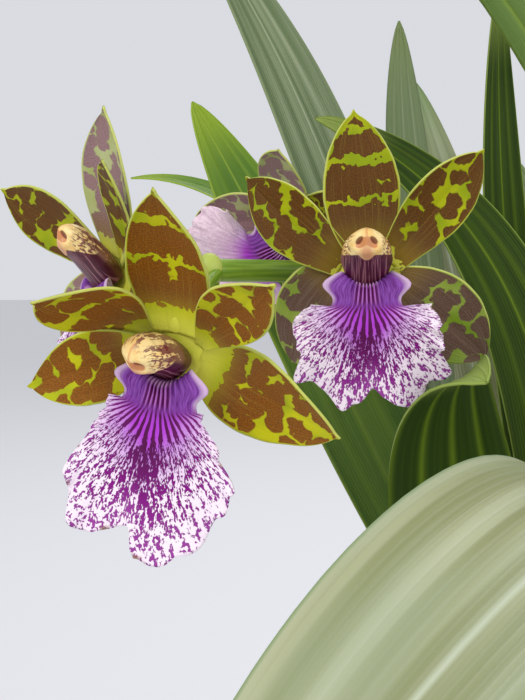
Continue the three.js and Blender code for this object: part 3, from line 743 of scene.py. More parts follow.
class ORCHID_OT_bark(bpy.types.Operator):
    """Bark that fills the pot, with loose chips on top"""

    bl_idname = "orchid.bark"
    bl_label = "Bark"

    def execute(self, context):
        draw = random.Random(SEEDS["chips"])
        # The vector noise that roughens the chips starts from the time of day unless it gets a seed.
        noise.seed_set(SEEDS["chips"])
        low, top = POT["floor"] + GAP, BARK["top"]
        edge = pot_bore(top) - GAP
        shares = [i / BARK["rings"] for i in reversed(range(BARK["rings"]))]
        profile = [(0, low), (pot_bore(low) - GAP, low), (edge, top)]
        profile += [(edge * share, top + BARK["dome"] * (1 - share ** 2)) for share in shares]
        mesh = spun(profile, BARK["steps"])
        traits = mesh.verts.layers.float_vector.new("traits")
        for corner in mesh.verts:
            if corner.co.z > top - 1:
                corner.co.z += 1.6 * noise.noise(corner.co * 0.16) - 0.8
            corner[traits] = Vector((0.5, 0, 0))
        for _ in range(context.scene.orchid_sizes.chips):
            self.chip(mesh, traits, draw)
        for face in mesh.faces:
            face.smooth = False
        dress(made("bark_bed", mesh), "bark", [bark_finish()])
        return {"FINISHED"}

    @staticmethod
    def chip(mesh, traits, draw):
        """One rough chip: a cube drawn out, its edges cut back and its corners moved about."""
        size = Vector([draw.uniform(*CHIP[way]) for way in ("long", "wide", "thick")])
        corners = bmesh.ops.create_cube(mesh, size=1)["verts"]
        bmesh.ops.scale(mesh, vec=size, verts=corners)
        edges = list(dict.fromkeys(edge for corner in corners for edge in corner.link_edges))
        cut = bmesh.ops.bevel(
            mesh, geom=edges, offset=CHIP["cut"], offset_type="OFFSET", segments=1, profile=0.5, material=-1,
            affect="EDGES",
        )
        corners = list(dict.fromkeys(corner for face in cut["faces"] for corner in face.verts))
        shade = draw.random()
        for corner in corners:
            corner.co += noise.noise_vector(corner.co * 0.31 + Vector((shade * 90, 0, 0))) * CHIP["rough"]
            corner[traits] = Vector((shade, 0, 0))
        r = BARK["chips_r"] * math.sqrt(draw.random())
        turn = draw.uniform(0, FULL_TURN)
        height = BARK["top"] + BARK["dome"] * (1 - (r / BARK["dome_r"]) ** 2) + draw.uniform(*CHIP["sink"])
        heading = Matrix.Rotation(draw.uniform(0, 6.3), 4, "Z")
        lean = Matrix.Rotation(draw.gauss(0, CHIP["lean"]), 4, "X")
        tilt = Matrix.Rotation(draw.gauss(0, CHIP["tilt"]), 4, "Y")
        place = Matrix.Translation((r * math.cos(turn), r * math.sin(turn), height))
        bmesh.ops.transform(mesh, matrix=place @ heading @ lean @ tilt, verts=corners)


# ---- Bulbs ----

def bulb_radius(growth, z):
    """A bulb's radius at a level, without its ribs, and that level as a share of its height."""
    t = min(max((z - GROUND) / growth["height"], 0), 1)
    return growth["r"] * math.sin(math.pi * mix(BULB["start"], BULB["end"], t)) ** BULB["blunt"], t


def bulb_finish():
    f = Finish("bulb_skin")
    across, up = f.map("spread")
    fibre = f.grain(across * 60, up * 2.5, 3)
    cloud = f.noise(f.place(), 60, 3)
    body = f.coats(
        tone(118, 134, 58),
        (cloud.step(0.35, 0.7), tone(142, 156, 78)),
        (fibre.step(0.55, 0.75) * 0.4, tone(92, 108, 42)),
        (up.step(0.8, 1.0) * 0.7, tone(170, 160, 96)),
        ((0.32 - up).step(0.0, 0.22), tone(150, 122, 80)),
    )
    return f.close(body, 0.42 + 0.2 * cloud, f.relief(fibre, 0.25))


def husk_finish():
    f = Finish("dry_husk")
    across, up = f.map("spread")
    seed, _, _ = f.traits()
    fibre = f.grain(across * 90 + seed * 20, up * 3, 4, 0.7)
    body = f.blend(fibre.step(0.3, 0.7), tone(118, 84, 54), tone(196, 168, 122))
    body = f.blend(up.step(0.6, 1.0) * 0.6, body, tone(106, 78, 54))
    return f.close(body, 0.75, f.relief(fibre, 0.3))


class ORCHID_OT_bulbs(bpy.types.Operator):
    """Ribbed bulbs and a young shoot, each in the dry husks of its base"""

    bl_idname = "orchid.bulbs"
    bl_label = "Bulbs"

    def execute(self, context):
        finishes = [bulb_finish(), husk_finish()]
        draw = random.Random(SEEDS["husks"])
        for name, growth in GROWTHS.items():
            piece = Skin()
            self.bulb(piece, growth)
            for i in range(HUSK["count"]):
                heading = draw.uniform(0, 0.8) + i * FULL_TURN / HUSK["count"]
                self.husk(piece, growth, heading, draw)
            piece.finish(name + "_skin", name, "bulb", finishes)
        return {"FINISHED"}

    @staticmethod
    def bulb(piece, growth):
        x, y = growth["at"]
        low, top = GROUND - BULB["peg"], GROUND + growth["height"] + 0.6

        def place(turn, s):
            z = mix(low, top, s)
            r, t = bulb_radius(growth, z)
            closing = math.sqrt(max(1 - smooth(z, top - BULB["tip"], top), 0))
            opening = smooth(z, low - 0.01, low + 4)
            rib = 1 + BULB["rib_depth"] * math.sin(math.pi * t) * math.cos(BULB["ribs"] * turn)
            wrinkle = 0.25 * noise.noise(Vector((math.cos(turn) * 5, math.sin(turn) * 5, z * 0.05 + x)))
            reach = r * closing * opening * rib + wrinkle * math.sin(math.pi * s)
            return Vector((x + reach * math.cos(turn), y + reach * math.sin(turn), z))

        piece.wrap(*GRID["bulb"], place)

    @staticmethod
    def husk(piece, growth, heading, draw):
        """A dry husk that hugs the bulb and stands off it at its ragged end."""
        x, y = growth["at"]
        tall = growth["height"] * draw.uniform(*HUSK["tall"])
        wide, flare = draw.uniform(*HUSK["wide"]), draw.uniform(*HUSK["flare"])
        seed = draw.random()

        def place(u, s):
            z = GROUND - HUSK["low"] + s * tall
            r, t = bulb_radius(growth, z)
            ragged = 1 - 0.12 * noise.noise(Vector((u * 3, s * 6, seed * 9)))
            turn = heading + u * wide * (1 - s ** 2.2) ** 0.7 * ragged
            reach = r * (1 + BULB["rib_depth"] * math.sin(math.pi * t)) + HUSK["off"]
            reach += flare * s ** 3 + 0.35 * noise.noise(Vector((u * 2.5, s * 5, seed * 5)))
            return Vector((x + reach * math.cos(turn), y + reach * math.sin(turn), z))

        piece.sheet(*GRID["husk"], place, (seed, 0, 0), 1)


# ---- Leaves ----

# Body, light streaks, nerves, tip and roughness.
LEAF_LOOKS = {
    "mid": (tone(78, 118, 12), tone(112, 148, 30), tone(146, 172, 52), tone(156, 182, 30), 0.42),
    "deep": (tone(34, 56, 0), tone(54, 80, 0), tone(112, 136, 22), tone(158, 178, 84), 0.52),
    "grey": (tone(88, 108, 64), tone(138, 150, 112), tone(166, 176, 140), tone(128, 144, 84), 0.46),
    "pale": (tone(132, 136, 84), tone(182, 184, 144), tone(198, 206, 180), tone(112, 144, 84), 0.48),
}
# How far the cosine of the nerves, and of the fine threads between them, turns across half of a blade.
NERVES = 2 * FULL_TURN
THREADS = 88


def leaf_finish(look):
    body, light, nerve, tip, rough = LEAF_LOOKS[look]
    f = Finish("leaf_" + look)
    across, up = f.map("spread")
    x, y = f.map("flat")
    seed, _, _ = f.traits()
    u = across * 2 - 1
    side = abs(u)
    fine = f.grain(across * 70 + seed * 31, up * 2.2, 3, 0.6)
    broad = f.grain(across * 9 + seed * 17, up * 2.6)
    speck = f.noise(f.vector(x, y), 1.6, 3, 0.6)
    calm = (0.97 - up).step(0, 0.3)
    nerves = (u * NERVES).lines(6)
    threads = (u * THREADS).lines(2) * calm
    colour = f.coats(body, (broad.step(0.35, 0.7) * 0.75, light), (fine.step(0.5, 0.8) * calm * 0.35, light))
    if look == "pale":
        haze = f.grain(across * 3 + seed * 23, up * 4)
        colour = f.blend(haze.step(0.42, 0.62) * 0.4, colour, tone(152, 168, 136))
    colour = f.coats(
        colour,
        (nerves * 0.24, nerve),
        (threads * 0.12, nerve),
        ((0.05 - side).step(0, 0.05) * 0.7, nerve),
        ((side - 0.965).step(0, 0.03) * 0.6, tip),
        ((up - 0.9).step(0, 0.1) * 0.75, tip),
        # Painted shade: the mid leaves are darkened below their tips.
        ((0.86 - up).step(0, 0.3) * (0.45 if look == "mid" else 0), tone(30, 52, 6)),
        ((0.08 - up).step(0, 0.08) * 0.7, tone(196, 200, 150)),
    )
    relief = f.relief(threads * 0.5 + nerves + fine * calm * 0.4, 0.22)
    relief = f.relief(speck, 0.05, relief)
    return f.close(colour, rough + 0.12 * speck, relief, Specular_IOR_Level=0.22 if look == "deep" else 0.45)


def leaf_back_finish(look):
    body, light, nerve, tip, rough = LEAF_LOOKS[look]
    f = Finish("leaf_back_" + look)
    across, up = f.map("spread")
    seed, _, _ = f.traits()
    fine = f.grain(across * 60 + seed * 31, up * 2, 3, 0.6)
    nerves = ((across * 2 - 1) * NERVES).lines(8)
    colour = f.coats(
        body,
        (fine.step(0.35, 0.75) * 0.5, light),
        (0.0 if look == "deep" else 0.25, tone(150, 166, 118)),
        (nerves * 0.5, nerve),
        ((up - 0.9).step(0, 0.1) * 0.7, tip),
    )
    relief = f.relief(nerves * -1 + fine * 0.5, 0.25)
    return f.close(colour, rough + 0.15, relief, Specular_IOR_Level=0.15 if look == "deep" else 0.5)


def leaf_place(growth, size, heading, lift, roll, swing, bend, seed):
    """How a leaf's grid is laid: the same line and width as its solid, with nerves and a living waver."""
    length, width = size

    def turn(s):
        return rad(mix(heading[0], heading[1], s ** swing))

    def rise(s):
        return rad(mix(lift[0], lift[1], s ** bend))

    def ahead(s):
        return Vector((math.cos(turn(s)), math.sin(turn(s)), 0))

    base = Vector((*growth["at"], GROUND + growth["height"] + 2 * GAP)) + ahead(0) * LEAF["seat"]
    middle = spine(base, length, lambda s: turned(ahead(s), UP, rise(s)), 48)

    def place(u, s):
        share = blade_outline(s, LEAF["start"], LEAF["early"], LEAF["blunt"])
        half = max(width / 2 * share, 0.25 + 0.6 * smooth(1 - s, 0, 0.1))
        side = Vector((-math.sin(turn(s)), math.cos(turn(s)), 0))
        normal = turned(UP, ahead(s), -rise(s))
        lean = rad(roll) * smooth(s, 0.1, 0.5)
        pleat = LEAF["pleat"] * math.sin(math.pi * s) * (1 - math.cos(2 * math.pi * u)) / 2
        nerve = 0.3 * math.sin(math.pi * s) * math.cos(4 * math.pi * u) * (width / 28)
        waver = 0.8 * u * u * noise.noise(Vector((s * 6, u * 0.6, seed * 7))) * math.sin(math.pi * s)
        lifted = LEAF["fold"] * half * abs(u) ** 1.15 - pleat + nerve + waver
        point = middle(s) + turned(side, normal, lean) * (u * half) + turned(normal, side, -lean) * lifted
        return point, (u * half, s * length)

    return place


class ORCHID_OT_leaves(bpy.types.Operator):
    """Pleated strap leaves on every growth"""

    bl_idname = "orchid.leaves"
    bl_label = "Leaves"

    def execute(self, context):
        wall = context.scene.orchid_sizes.leaf_wall
        finishes = {look: [leaf_finish(look), leaf_back_finish(look)] for look in LEAF_LOOKS}
        for seed, (name, (growth, *shape, look)) in enumerate(LEAVES.items(), 1):
            piece = Skin()
            place = leaf_place(GROWTHS[growth], *shape, seed)
            piece.sheet(*GRID["leaf"], place, (seed * 0.37, 0, 0), flip=True)
            piece.finish(name + "_blade", name, "leaf", finishes[look], wall)
        return {"FINISHED"}


# ---- Stalk ----

def stalk_finish():
    f = Finish("stalk_skin")
    across, _ = f.map("spread")
    x, y = f.map("flat")
    bud, _, _ = f.traits()
    streak = f.grain(across * 24, y * 0.06, 3)
    cloud = f.noise(f.vector(x, y * 0.3), 0.5, 2)
    colour = f.coats(
        tone(104, 142, 16),
        (streak.step(0.35, 0.7), tone(140, 170, 44)),
        (cloud.step(0.55, 0.8) * 0.25, tone(110, 100, 44)),
        (bud * 0.9, tone(196, 208, 96)),
    )
    return f.close(colour, 0.4, f.relief(streak, 0.15))


class ORCHID_OT_stalk(bpy.types.Operator):
    """The spray's stalk, with its bracts and a ribbed ovary behind each bloom"""

    bl_idname = "orchid.stalk"
    bl_label = "Stalk"

    def execute(self, context):
        piece = Skin()
        main = Path(SPRAY)
        self.tube(piece, main, "stem", self.stem)
        self.bud(piece, main.at(1))
        for bract in SPRAY_BRACTS:
            self.bract(piece, main, bract)
        for bloom in BLOOMS.values():
            joint, way = main.at(bloom["from"]), main.way(bloom["from"])
            far, middle, near, end = (
                bloom_matrix(bloom) @ Vector((0, behind, 0))
                for behind in (OVARY["length"], OVARY["length"] * 0.75, OVARY["length"] * 0.4, 1 + GAP)
            )
            line = Path([joint, (joint + way * 4).lerp(far, 0.4), middle, near, end], 160)
            self.tube(piece, line, "ovary", self.ovary)
            self.floret_bract(piece, line)
        piece.finish("spray_stem", "spray_stalk", "stalk", [stalk_finish()])
        return {"FINISHED"}

    @staticmethod
    def stem(s, turn):
        """The stem's radius, with a small swelling at each node."""
        nodes = sum(bump(s, at, 0.006) for at in STEM_NODES)
        return STALK_R * (1.0 + 0.14 * nodes)

    @staticmethod
    def ovary(s, turn):
        """The radius of a bloom's own stalk, which swells to a ribbed ovary."""
        swell = smooth(s, 0.3, 0.85)
        ribs = 1 + OVARY["rib_depth"] * swell * math.cos(OVARY["ribs"] * turn)
        return mix(OVARY["neck"], OVARY["belly"], swell) * ribs

    @staticmethod
    def bud(piece, centre):
        """The round pale end of the spray, where the last bloom leaves it."""
        def place(turn, s):
            r = math.sin(math.pi * s) * (1 + 0.05 * math.cos(3 * turn))
            point = Vector((math.cos(turn) * r, math.sin(turn) * r, -math.cos(math.pi * s) * 1.25))
            return centre + point * BUD_R, (turn * BUD_R, s * 9)

        piece.wrap(*GRID["bud"], place, (1, 0, 0))

    @staticmethod
    def tube(piece, line, grid, radius):
        """A tube of a radius along a line, with rounded ends."""
        def place(turn, s):
            inside = max(min(s, 1 - s), 0) * line.length
            r = radius(s, turn) * math.sqrt(min(inside / TUBE_END, 1))
            return line.ring(s, turn, r), (turn, s * line.length)

        piece.wrap(*GRID[grid], place, flip=True)

    @staticmethod
    def bract(piece, main, bract):
        """A pointed bract that wraps half of the stem and stands off it at the tip."""
        base, way = main.at(bract["at"]), main.way(bract["at"])
        side = rad(bract["side"])
        out = Vector((math.cos(side), math.sin(side), 0))
        out = (out - way * out.dot(way)).normalized()
        across = way.cross(out)

        def place(u, s, shift):
            wrap = u * mix(1.5, 0.9, s) * max(blade_outline(s, 0.35, 1, 0.8), 0.02)
            r = STALK_R + shift + 3 * s * s - 0.2
            point = base + way * (s * bract["length"]) + out * (r * math.cos(wrap))
            return point + across * ((r + bract["width"] * 0.1) * math.sin(wrap)), (u * 5, s * 24)

        piece.sheet(*GRID["bract"], lambda u, s: place(u, s, 0.35), flip=True)
        piece.sheet(*GRID["bract"], lambda u, s: place(u, s, -0.1))

    @staticmethod
    def floret_bract(piece, line):
        """The small pointed bract at the foot of a bloom's own stalk."""
        base, way = line.at(0.06), line.way(0.06)
        out = way.orthogonal().normalized()
        if out.z > 0:
            out = -out
        across = way.cross(out)

        def place(u, s, shift):
            half = 2.6 * blade_outline(s, 0.3, 1, 0.9) + 0.02
            point = base + way * (s * 7) + out * (2.0 + shift + 2 * s * s - 0.5 * u * u)
            return point + across * (u * half)

        piece.sheet(*GRID["floret_bract"], lambda u, s: place(u, s, 0.2), flip=True)
        piece.sheet(*GRID["floret_bract"], lambda u, s: place(u, s, -0.1))


# ---- Blooms ----

# The looks of sepals and petals: lime, a second lime, brown and a second brown.
TEPAL_LOOKS = {
    "plain": (tone(178, 184, 0), tone(146, 164, 0), tone(114, 70, 12), tone(78, 46, 10)),
    "golden": (tone(202, 200, 0), tone(170, 180, 0), tone(156, 92, 0), tone(108, 62, 0)),
    # The greyed look below is the sepals' own brown and lime, paled and greyed as a painted shade and a
    # painted sheen.
    "shade_and_sheen": (tone(156, 176, 70), tone(126, 156, 34), tone(122, 94, 80), tone(94, 68, 52)),
    "mauve": (tone(190, 196, 136), tone(170, 180, 104), tone(170, 136, 142), tone(136, 102, 98)),
}
# Each bloom's two looks, the sepals and petals that have the second, where the upper sepal's bands lie (1 is
# the usual place, 0 none), how faint the lip's dashes are and how far bare lime reaches from the centre.
BLOOM_LOOKS = {
    "bloom_right": ("plain", "shade_and_sheen", ("sepal_right", "sepal_left"), 1, 0, 0.2),
    "bloom_front": ("golden", "golden", (), 1.1, 0, 1),
    "bloom_left": ("plain", "mauve", ("dorsal", "sepal_left"), 0, 0, 0.6),
    "bloom_back": ("mauve", "plain", ("dorsal", "petal_right"), 1.05, 1, 0.4),
}
# The level gaps between the bands: how far up the sepal, and half of their width.
BAND_GAPS = ((0.39, 0.02), (0.66, 0.028), (0.87, 0.02))


def blotch(f, amount):
    """Brown over lime: broad patches that nearly meet, so that thin stars of lime are left, and level bands
    across the upper sepal. Returns the brown's share, how far to the side, how far up, and a fine and a broad
    grain."""
    across, up = f.map("spread")
    x, y = f.map("flat")
    seed, banded, bare = f.traits()
    x, y = x + seed * 53, y + seed * 29
    side = abs(across * 2 - 1)
    spot = f.vector(x, y)
    warp = f.noise(spot, 0.28, 1)
    ripple = f.noise(spot, 0.7, 1, 0.35)
    wide = f.noise(spot, 0.1, 1)
    shifted = f.vector(x + (warp - 0.5) * 5 + (ripple - 0.5) * 0.9, y - (ripple - 0.5) * 1.2)
    discs = {"feature": "F1", "voronoi_dimensions": "2D"}
    cells = f.node("ShaderNodeTexVoronoi", discs, {"Vector": shifted, "Scale": 0.25})
    reach = 0.58 + amount + (wide - 0.5) * 0.5 + (0.36 - up).step(0, 0.2) * 0.25
    reach = reach - (side - 0.86).high(0) * 0.9 - (up - 0.93).high(0) * 3
    level = up + (ripple - 0.5) * 0.07 + (warp - 0.5) * 0.09 + (cells - 0.35) * 0.06 - (banded - 1)
    gaps = sum((width - abs(level - at)).step(-0.012, 0.014) for at, width in BAND_GAPS)
    wings = (side - 1.02 + (level - 0.62).high(0) * 1.2 + (level - 0.86).high(0) * 5).high(0)
    reach = reach + banded.step(0.4, 0.6) * (0.3 - gaps * 1.4 - wings * 6)
    reach = reach - (bare * 0.17 - up + (ripple - 0.5) * 0.1).step(-0.03, 0.03) * 2
    brown = (reach - cells).step(-0.04, 0.05) * (0.972 - side).step(0, 0.03) * (0.985 - up).step(0, 0.02)
    return brown, side, up, f.noise(spot, 3, 3, 0.75), wide


def tepal_finish(look):
    lime, leafy, warm, dark = TEPAL_LOOKS[look]
    f = Finish("tepal_" + look)
    brown, side, up, grain, wide = blotch(f, 0.05 if look == "shade_and_sheen" else 0.0)
    veins = f.grain(f.map("spread")[0] * 50, up * 1.6, 3)
    ground = f.coats(
        lime, (wide.step(0.35, 0.65), leafy), ((0.22 - up).step(0, 0.2) * 0.9, tone(232, 232, 84)),
    )
    patch = f.coats(
        warm,
        (grain.step(0.38, 0.62), dark),
        ((0.45 - up).step(0, 0.3) * 0.35, tone(116, 92, 56)),
        ((0.3 - up).step(0, 0.25) * (0.9 if look == "golden" else 0.4), tone(178, 148, 30)),
    )
    colour = f.coats(
        ground,
        (brown, patch),
        ((side - 0.965).step(0, 0.025) * 0.8, tone(206, 210, 110)),
        # The greyed look's veins are greyed too, as part of its painted sheen.
        (veins.step(0.5, 0.75) * 0.22, tone(196, 184, 160) if look == "shade_and_sheen" else tone(176, 160, 60)),
    )
    relief = f.relief(grain * 0.6 + veins * 0.7 - brown * 0.3, 0.2)
    return f.close(colour, 0.48 + 0.12 * grain, relief, Specular_IOR_Level=0.22)


def tepal_back_finish():
    f = Finish("tepal_back")
    brown, _, up, grain, wide = blotch(f, -0.06)
    lime = f.blend(wide.step(0.3, 0.7), tone(158, 172, 84), tone(136, 156, 62))
    colour = f.blend(brown * 0.75, lime, tone(120, 92, 62))
    veins = f.grain(f.map("spread")[0] * 40, up * 1.5)
    return f.close(colour, 0.55, f.relief(veins + grain * 0.3, 0.15))


def heart_finish():
    """The pale centre that the sepals and petals grow from."""
    f = Finish("tepal_heart")
    cloud = f.noise(f.place(), 400, 3)
    colour = f.blend(cloud.step(0.4, 0.7), tone(232, 232, 84), tone(222, 224, 70))
    return f.close(colour, 0.5, f.relief(cloud, 0.1))


def tepal_place(p, seed):
    clock = rad(p["clock"])
    outward = Vector((math.sin(clock), 0, math.cos(clock)))
    sideways = Vector((math.cos(clock), 0, -math.sin(clock)))
    seat = rad(p["seat"])
    base = Vector((math.sin(seat), 0, math.cos(seat))) * p["seat_r"]

    def opening(s):
        return rad(mix(p["open"], p["close"], s))

    def direction(s):
        return turned(FORWARD, outward, opening(s)) + sideways * math.tan(rad(p["sweep"])) * s

    middle = spine(base, p["length"], direction, 48)

    def place(u, s):
        body = blade_outline(min(s / 0.97, 1), p["start"], p["early"], p["blunt"])
        point_half = 0.55 * smooth(1 - s, 0, 0.03) + 0.08
        half = max(p["width"] / 2 * body, point_half)
        normal = turned(-outward, FORWARD, opening(s))
        twist = rad(p["twist"]) * s
        furrow = -0.35 * bump(u, 0, 0.12) * math.sin(math.pi * min(s * 1.02, 1))
        waver = 0.7 * u * u * noise.noise(Vector((s * 3.5, u * 0.8, seed * 7.7))) * math.sin(math.pi * s)
        lifted = p["cup"] * half * u * u + furrow + waver
        edge = 1 + 0.02 * noise.noise(Vector((s * 9, u, seed * 3.1)))
        point = middle(s) + turned(sideways, normal, twist) * (u * half * edge)
        return point + turned(normal, sideways, -twist) * lifted, (u * half, s * p["length"])

    return place


def lip_finish():
    """Violet callus with pale ribs, dark veins that leave it, and dashes of purple over the white blade. The
    map's two numbers are the place across and the distance in millimetres past the waist."""
    colours = bpy.context.scene.orchid_colours
    f = Finish("lip_front")
    turn, reach = f.map("flat")
    _, outward = f.map("spread")
    seed, faint, _ = f.traits()
    side = abs(turn) / LIP["span"]
    wobble = f.grain(turn * 0.35 + seed * 9, reach * 0.16)
    ribs = (turn * (LIP["ribs"] * math.pi / LIP["span"])).cos() * 0.5 + 0.5
    veins = 0.5 - (turn * (LIP["veins"] * math.pi / LIP["span"]) + (wobble - 0.5) * 6).cos() * 0.5
    long = f.grain(turn * 2.1 + seed * 9, reach * 0.34, 3, 0.6)
    short = f.grain(turn * 4.2 + 40, reach * 1.3 + seed * 7)
    dashes = (long * 0.62 + short * 0.38 - 0.5) * 4.2 + 0.5
    outer = (reach + side * 5).step(3.5, 11)
    centre = (0.26 - side).step(0, 0.26)
    field = veins * (1 - outer) + dashes * outer
    thinned = centre * reach.step(3, 10) * (1 - reach.step(15, 26) * 0.6)
    level = 0.53 - thinned * 0.3 + (side - 0.6).high(0) * 0.3
    fringe = (outward - 0.72).step(0, 0.26)
    streak = (field - level - fringe * 0.1).step(-0.06, 0.08) * reach.step(-1.5, 1)
    white = f.blend((reach + side * 14 + wobble * 4).step(8, 24), tone(178, 60, 206), tuple(colours.blush))
    ground = f.blend(reach.step(-1, 3), tone(136, 60, 162), white)
    purple = f.coats(
        tone(84, 0, 70),
        ((reach + side * LIP["span"]).step(7, 24), tuple(colours.violet)),
        (fringe * 0.3, tone(196, 110, 200)),
    )
    # Painted highlight: pale pink on the ribs along the callus's crest.
    crest = (1.3 - abs(reach + 6.2)).step(0, 1.1) * (0.6 - side).step(0, 0.3)
    callus = f.coats(
        f.blend(long.step(0.35, 0.65), tone(148, 84, 182), tone(106, 34, 126)),
        ((0.5 - side).step(0, 0.22), f.blend(ribs.step(0.3, 0.95), tone(92, 4, 82), tone(180, 104, 190))),
        # The crest's painted highlight.
        (crest * (0.25 + ribs * 0.5), tone(234, 178, 232)),
        ((side - 0.88).step(0, 0.1) * 0.8, tone(228, 196, 226)),
    )
    edge = f.grain(turn * 0.5 + seed * 4, reach * 0.2)
    rim = (outward - 0.965).step(0, 0.03) * edge.step(0.56, 0.68) * 0.8
    colour = f.coats(
        ground,
        (streak * (1 - faint * 0.75), purple),
        (faint * reach.step(2, 8) * 0.45, tone(250, 206, 226)),
        ((0.4 - reach).step(0, 2.4), callus),
        (rim, tone(150, 104, 70)),
    )
    grain = f.grain(turn * 6, reach * 3, 3)
    relief = f.relief(grain * 0.35 - streak * 0.5, 0.2)
    return f.close(colour, 0.5 + 0.1 * grain, relief, Specular_IOR_Level=0.2)


def lip_back_finish():
    f = Finish("lip_back")
    turn, reach = f.map("flat")
    veins = f.grain(turn * 1.3, reach * 0.05, 3)
    colour = f.blend(veins.step(0.42, 0.62) * 0.6, tone(226, 206, 224), tone(176, 120, 178))
    return f.close(colour, 0.6, f.relief(veins, 0.2))


def blade_reach(angle, margin):
    """How far the lip's blade reaches at an angle in degrees, eased from one chosen point to the next."""
    (from_angle, from_reach), (to_angle, to_reach) = next(
        pair for pair in zip(margin, margin[1:]) if angle <= pair[1][0] + 1e-6
    )
    return mix(from_reach, to_reach, smooth(angle, from_angle, to_angle))


def lip_place(p, seed):
    """A ribbed callus that rises to a crest and falls to a waist with an ear on each side, then the blade."""
    waist = p["crest"] + p["face"]
    reach = waist + p["blade"]
    share = p["callus"]
    start = Vector((0, -p["front"], p["low"]))

    def slope(run):
        risen = mix(p["rise"], -p["face_fall"], smooth(run, p["crest"] - 1.8, p["crest"] + 1.8))
        return rad(mix(risen, -p["fall"], smooth(run, waist - 2, waist + 8)))

    middle = spine(start, reach, lambda s: turned(FORWARD, UP, slope(s * reach)), 160)

    def callus(u, t):
        """How far along, past the waist, across, forwards, and up from the lip's middle line."""
        run = t * waist
        ear = bump(run, p["crest"] + p["ear_at"], p["ear_long"])
        x = u * mix(p["base_half"], p["waist_half"], t ** 1.5) + math.copysign(p["ear"] * ear * u ** 4, u)
        wander = 1.2 * noise.noise(Vector((u * 5, run * 0.3, seed)))
        ribs = math.cos(p["ribs"] * math.pi * u + wander) * smooth(run, 1, 4)
        lifted = ribs * (0.1 + 0.2 * (1 - u * u) ** 2)
        lifted += 0.45 * bump(run, p["crest"] + 0.6, 1.1) * (1 - u ** 4) * (0.5 + 0.5 * ribs)
        return run, 0, x, p["ear_curl"] * ear * u ** 6, lifted

    def blade(u, t):
        angle = u * rad(p["spread"])
        frill = 0.4 * math.sin(27 * angle + seed) + 0.9 * noise.noise(Vector((angle * 9, seed * 5, 0)))
        wide = blade_reach(u * p["spread"], p["margin"])
        r = (wide + frill * smooth(wide, 4, 12)) * t
        wave = math.sin(24 * angle + 2 * math.sin(5 * angle + seed))
        lifted = p["ruffle"] * t * t * math.sin(p["ruffle_waves"] * angle + 0.6) * smooth(wide, 2, 12)
        lifted += 0.7 * t ** 5 * wave * smooth(wide, 4, 12)
        lifted += 0.12 * math.cos(p["ribs"] * math.pi * u) * (1 - smooth(t, 0, 0.2))
        lifted += 0.11 * math.sin(60 * angle + math.sin(9 * angle)) * smooth(t, 0.05, 0.3)
        return waist + r * math.cos(angle), r, u * p["waist_half"] + r * math.sin(angle), 0, lifted

    def place(u, s):
        on_callus = s < share
        shape = callus(u, s / share) if on_callus else blade(u, (s - share) / (1 - share))
        run, r, x, forward, lifted = shape
        back = p["back"] * smooth(run, 0, p["crest"]) * (1 - smooth(r, 0, 10))
        point = middle(run / reach) + SIDE * x
        point += UP * (p["horns"] * u * u * bump(run, p["crest"], 3.2)) + FORWARD * (forward - back * u * u)
        point += turned(UP, FORWARD, -slope(run)) * lifted
        point.y = min(point.y, -p["front"] + 0.4)
        return point, (u * p["span"], run - waist if on_callus else r)

    return place


def column_spot(out, high, x, z, wide, tall):
    """A soft oval on the column's end, the same on both sides."""
    aside, level = (out - x) / wide, (high - z) / tall
    return (1 - aside * aside - level * level).step(0, 0.45)


def column_finish():
    """Cream hood, tan round its two pits, whose hollows are painted dark brown as shade, and maroon veins,
    over a dark face with pale lines. The map's two numbers are how far to the side and how high, in
    millimetres, as seen on the column's end."""
    f = Finish("column_skin")
    across, up = f.map("spread")
    x, high = f.map("flat")
    out = abs(x)
    cloud = f.noise(f.place(), 420, 3)
    lines = f.grain(x * 2.5, up * 1.2, 1)
    net = f.grain(across * 15, up * 4 + cloud * 1.5, 3, 0.7)
    specks = f.grain(across * 60, up * 16)
    dark = f.blend(lines.step(0.5, 0.62) * 0.6, tone(76, 10, 38), tone(186, 126, 134))
    cream = f.coats(
        tone(255, 226, 156),
        (cloud.step(0.4, 0.66), tone(246, 202, 122)),
        ((2.6 - out).step(0, 2.2) * (-1.2 - high).step(0, 2.6) * 0.75, tone(214, 138, 104)),
    )
    aside = abs(across - 0.75) * 4
    edge = 0.7 + aside.step(0, 0.3) * 0.09 - (aside - 0.25).step(0, 0.75) * 0.29
    veined = (net + (0.75 - up) * 0.3 - 0.5).step(0, 0.05) * (0.97 - up).step(0, 0.12)
    back = f.coats(
        cream, (veined * 0.85, tone(112, 40, 54)), ((0.4 - up).step(0, 0.2) * 0.9, tone(84, 26, 40)),
    )
    below = (across - 0.5).step(-0.01, 0.03) * (0.995 - across).step(-0.01, 0.03)
    rim = (out - 3.2).step(0, 1.0) * (up - 0.5).step(0, 0.08) * (specks - 0.5).step(0, 0.05)
    front = (up - 0.84).step(0, 0.05)
    saddle = column_spot(out, high + out * 0.2, 0.9, -1.6, 1.9, 1.25)
    # Painted shade: the pits' hollows are darkened to dark brown.
    shaded_pit = column_spot(out, high + out * 0.3, 1.75, -0.55, 1.0, 0.75)
    nose = (0.5 - out).step(0, 0.4) * (high + 3).step(0, 0.8)
    colour = f.coats(
        back,
        (below, f.blend((up - edge).step(-0.01, 0.014), dark, cream)),
        (rim * 0.9, tone(116, 34, 52)),
        (saddle * front * 0.85, tone(206, 122, 70)),
        (shaded_pit * front * 0.85, tone(112, 40, 16)),
        (nose * front * 0.6, tone(216, 140, 84)),
    )
    return f.close(colour, 0.4, f.relief(cloud + lines * 0.6, 0.12), Specular_IOR_Level=0.5)


